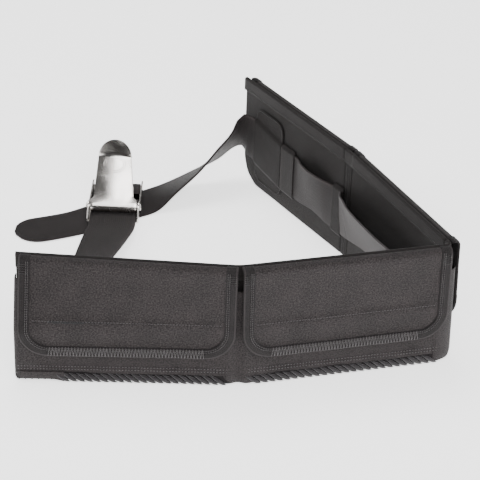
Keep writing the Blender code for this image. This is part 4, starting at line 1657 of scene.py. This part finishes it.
def build_keepers():
    low, high = WEBBING_Z - WEBBING / 2 - 0.004, WEBBING_Z + WEBBING / 2 + 0.004
    keeper("end_patch_1", 1, 0.022, 0.078, 0.010, 0.100, 0.012, "end_keeper_1")
    keeper("stop_loop_1", 1, 0.0783, 0.104, low, high, 0.0015, "stop_keeper_1")
    keeper("end_patch_4", 4, PITCH - 0.078, PITCH - 0.022, 0.010, 0.100, 0.012, "end_keeper_4")
    keeper("stop_loop_4", 4, PITCH - 0.104, PITCH - 0.0783, low, high, 0.0015, "stop_keeper_4")
    for number in (2, 3, 4):
        keeper(f"seam_loop_{number}", number, 0.003, 0.021, low, high, 0.0015, f"seam_keeper_{number}")


LIGHT_TARGET = Vector((0.0, 0.0, 0.05))


def area_light(name, place, size, power):
    """A round light that points at the belt."""
    light = bpy.data.lights.new(name, "AREA")
    light.shape = "DISK"
    light.size = size
    light.energy = power
    made = bpy.data.objects.new(name, light)
    SCENE.collection.objects.link(made)
    made.location = place
    made.rotation_euler = (LIGHT_TARGET - Vector(place)).to_track_quat("-Z", "Y").to_euler()


def build_studio():
    """A pale floor, soft light from all round and above, and the camera."""
    floor = bpy.data.meshes.new("floor")
    reach = 6.0
    corners = [(-reach, -reach, 0), (reach, -reach, 0), (reach, reach, 0), (-reach, reach, 0)]
    floor.from_pydata(corners, [], [(0, 1, 2, 3)])
    made = bpy.data.objects.new("floor", floor)
    SCENE.collection.objects.link(made)
    made.location.z = -0.0004
    pale = bpy.data.materials.new("floor_paper")
    pale.use_nodes = True
    shader = pale.node_tree.nodes["Principled BSDF"]
    shader.inputs["Base Color"].default_value = (0.92, 0.92, 0.92, 1.0)
    shader.inputs["Roughness"].default_value = 0.9
    shader.inputs["Emission Color"].default_value = (1.0, 1.0, 1.0, 1.0)
    shader.inputs["Emission Strength"].default_value = 1.7
    floor.materials.append(pale)

    world = bpy.data.worlds.new("studio")
    world.use_nodes = True
    nodes, links = world.node_tree.nodes, world.node_tree.links
    direction = nodes.new("ShaderNodeTexCoord")
    parts = nodes.new("ShaderNodeSeparateXYZ")
    ramp = nodes.new("ShaderNodeValToRGB")
    links.new(direction.outputs["Generated"], parts.inputs[0])
    links.new(parts.outputs[2], ramp.inputs[0])
    # The steel would be too pale all over, so the sky is darker on the left behind the camera
    darker = nodes.new("ShaderNodeMath")
    darker.operation = "MULTIPLY"
    for axis, start, end, low, high in ((0, -0.30, 0.12, 0.80, 0.0), (1, -0.40, -0.65, 0.0, 1.0)):
        step = nodes.new("ShaderNodeMapRange")
        step.interpolation_type = "SMOOTHSTEP"
        for key, value in (("From Min", start), ("From Max", end), ("To Min", low), ("To Max", high)):
            step.inputs[key].default_value = value
        links.new(parts.outputs[axis], step.inputs["Value"])
        links.new(step.outputs["Result"], darker.inputs[axis])
    kept = nodes.new("ShaderNodeMath")
    kept.operation = "SUBTRACT"
    kept.inputs[0].default_value = 1.0
    links.new(darker.outputs[0], kept.inputs[1])
    shade = nodes.new("ShaderNodeVectorMath")
    shade.operation = "SCALE"
    links.new(ramp.outputs[0], shade.inputs[0])
    links.new(kept.outputs[0], shade.inputs["Scale"])
    links.new(shade.outputs[0], nodes["Background"].inputs["Color"])
    stops = ((0.0, 0.42), (0.36, 0.20), (0.50, 0.62), (0.60, 1.0), (0.78, 0.75), (1.0, 1.0))
    ramp.color_ramp.elements[1].position = stops[-1][0]
    for place, _ in stops[1:-1]:
        ramp.color_ramp.elements.new(place)
    for element, (place, level) in zip(ramp.color_ramp.elements, stops):
        element.position = place
        element.color = (level, level, level, 1.0)
    nodes["Background"].inputs["Strength"].default_value = 0.8
    SCENE.world = world
    area_light("key", (0.20, -1.47, 1.21), 1.1, 20.0)
    area_light("side", (1.70, -0.90, 0.70), 0.8, 9.0)
    area_light("fill", (-1.6, -0.1, 1.0), 0.9, 12.0)
    area_light("top", (-0.2, 0.7, 1.9), 1.0, 16.0)

    camera = bpy.data.cameras.new("camera")
    camera.lens = 127.97
    camera.sensor_width = 36.0
    made = bpy.data.objects.new("camera", camera)
    SCENE.collection.objects.link(made)
    place = FOLD + Vector((-0.00086, -1.3177, 0.9059))
    tilt = Matrix.Rotation(math.radians(60.142), 4, "X")
    roll = Matrix.Rotation(math.radians(1.944), 4, "Z")
    made.matrix_world = Matrix.Translation(place) @ tilt @ roll
    SCENE.camera = made


build_studio()
build_pockets()
for fold in (1, 2, 3):
    fold_pieces(fold)
    fold_gusset(fold)
build_straps()
build_keepers()
bevelled("buckle_frame", "frame_channel", 0.00035, 3)
bevelled("buckle_pin", "frame_pin", 0.0002, 2)
cam_lever()
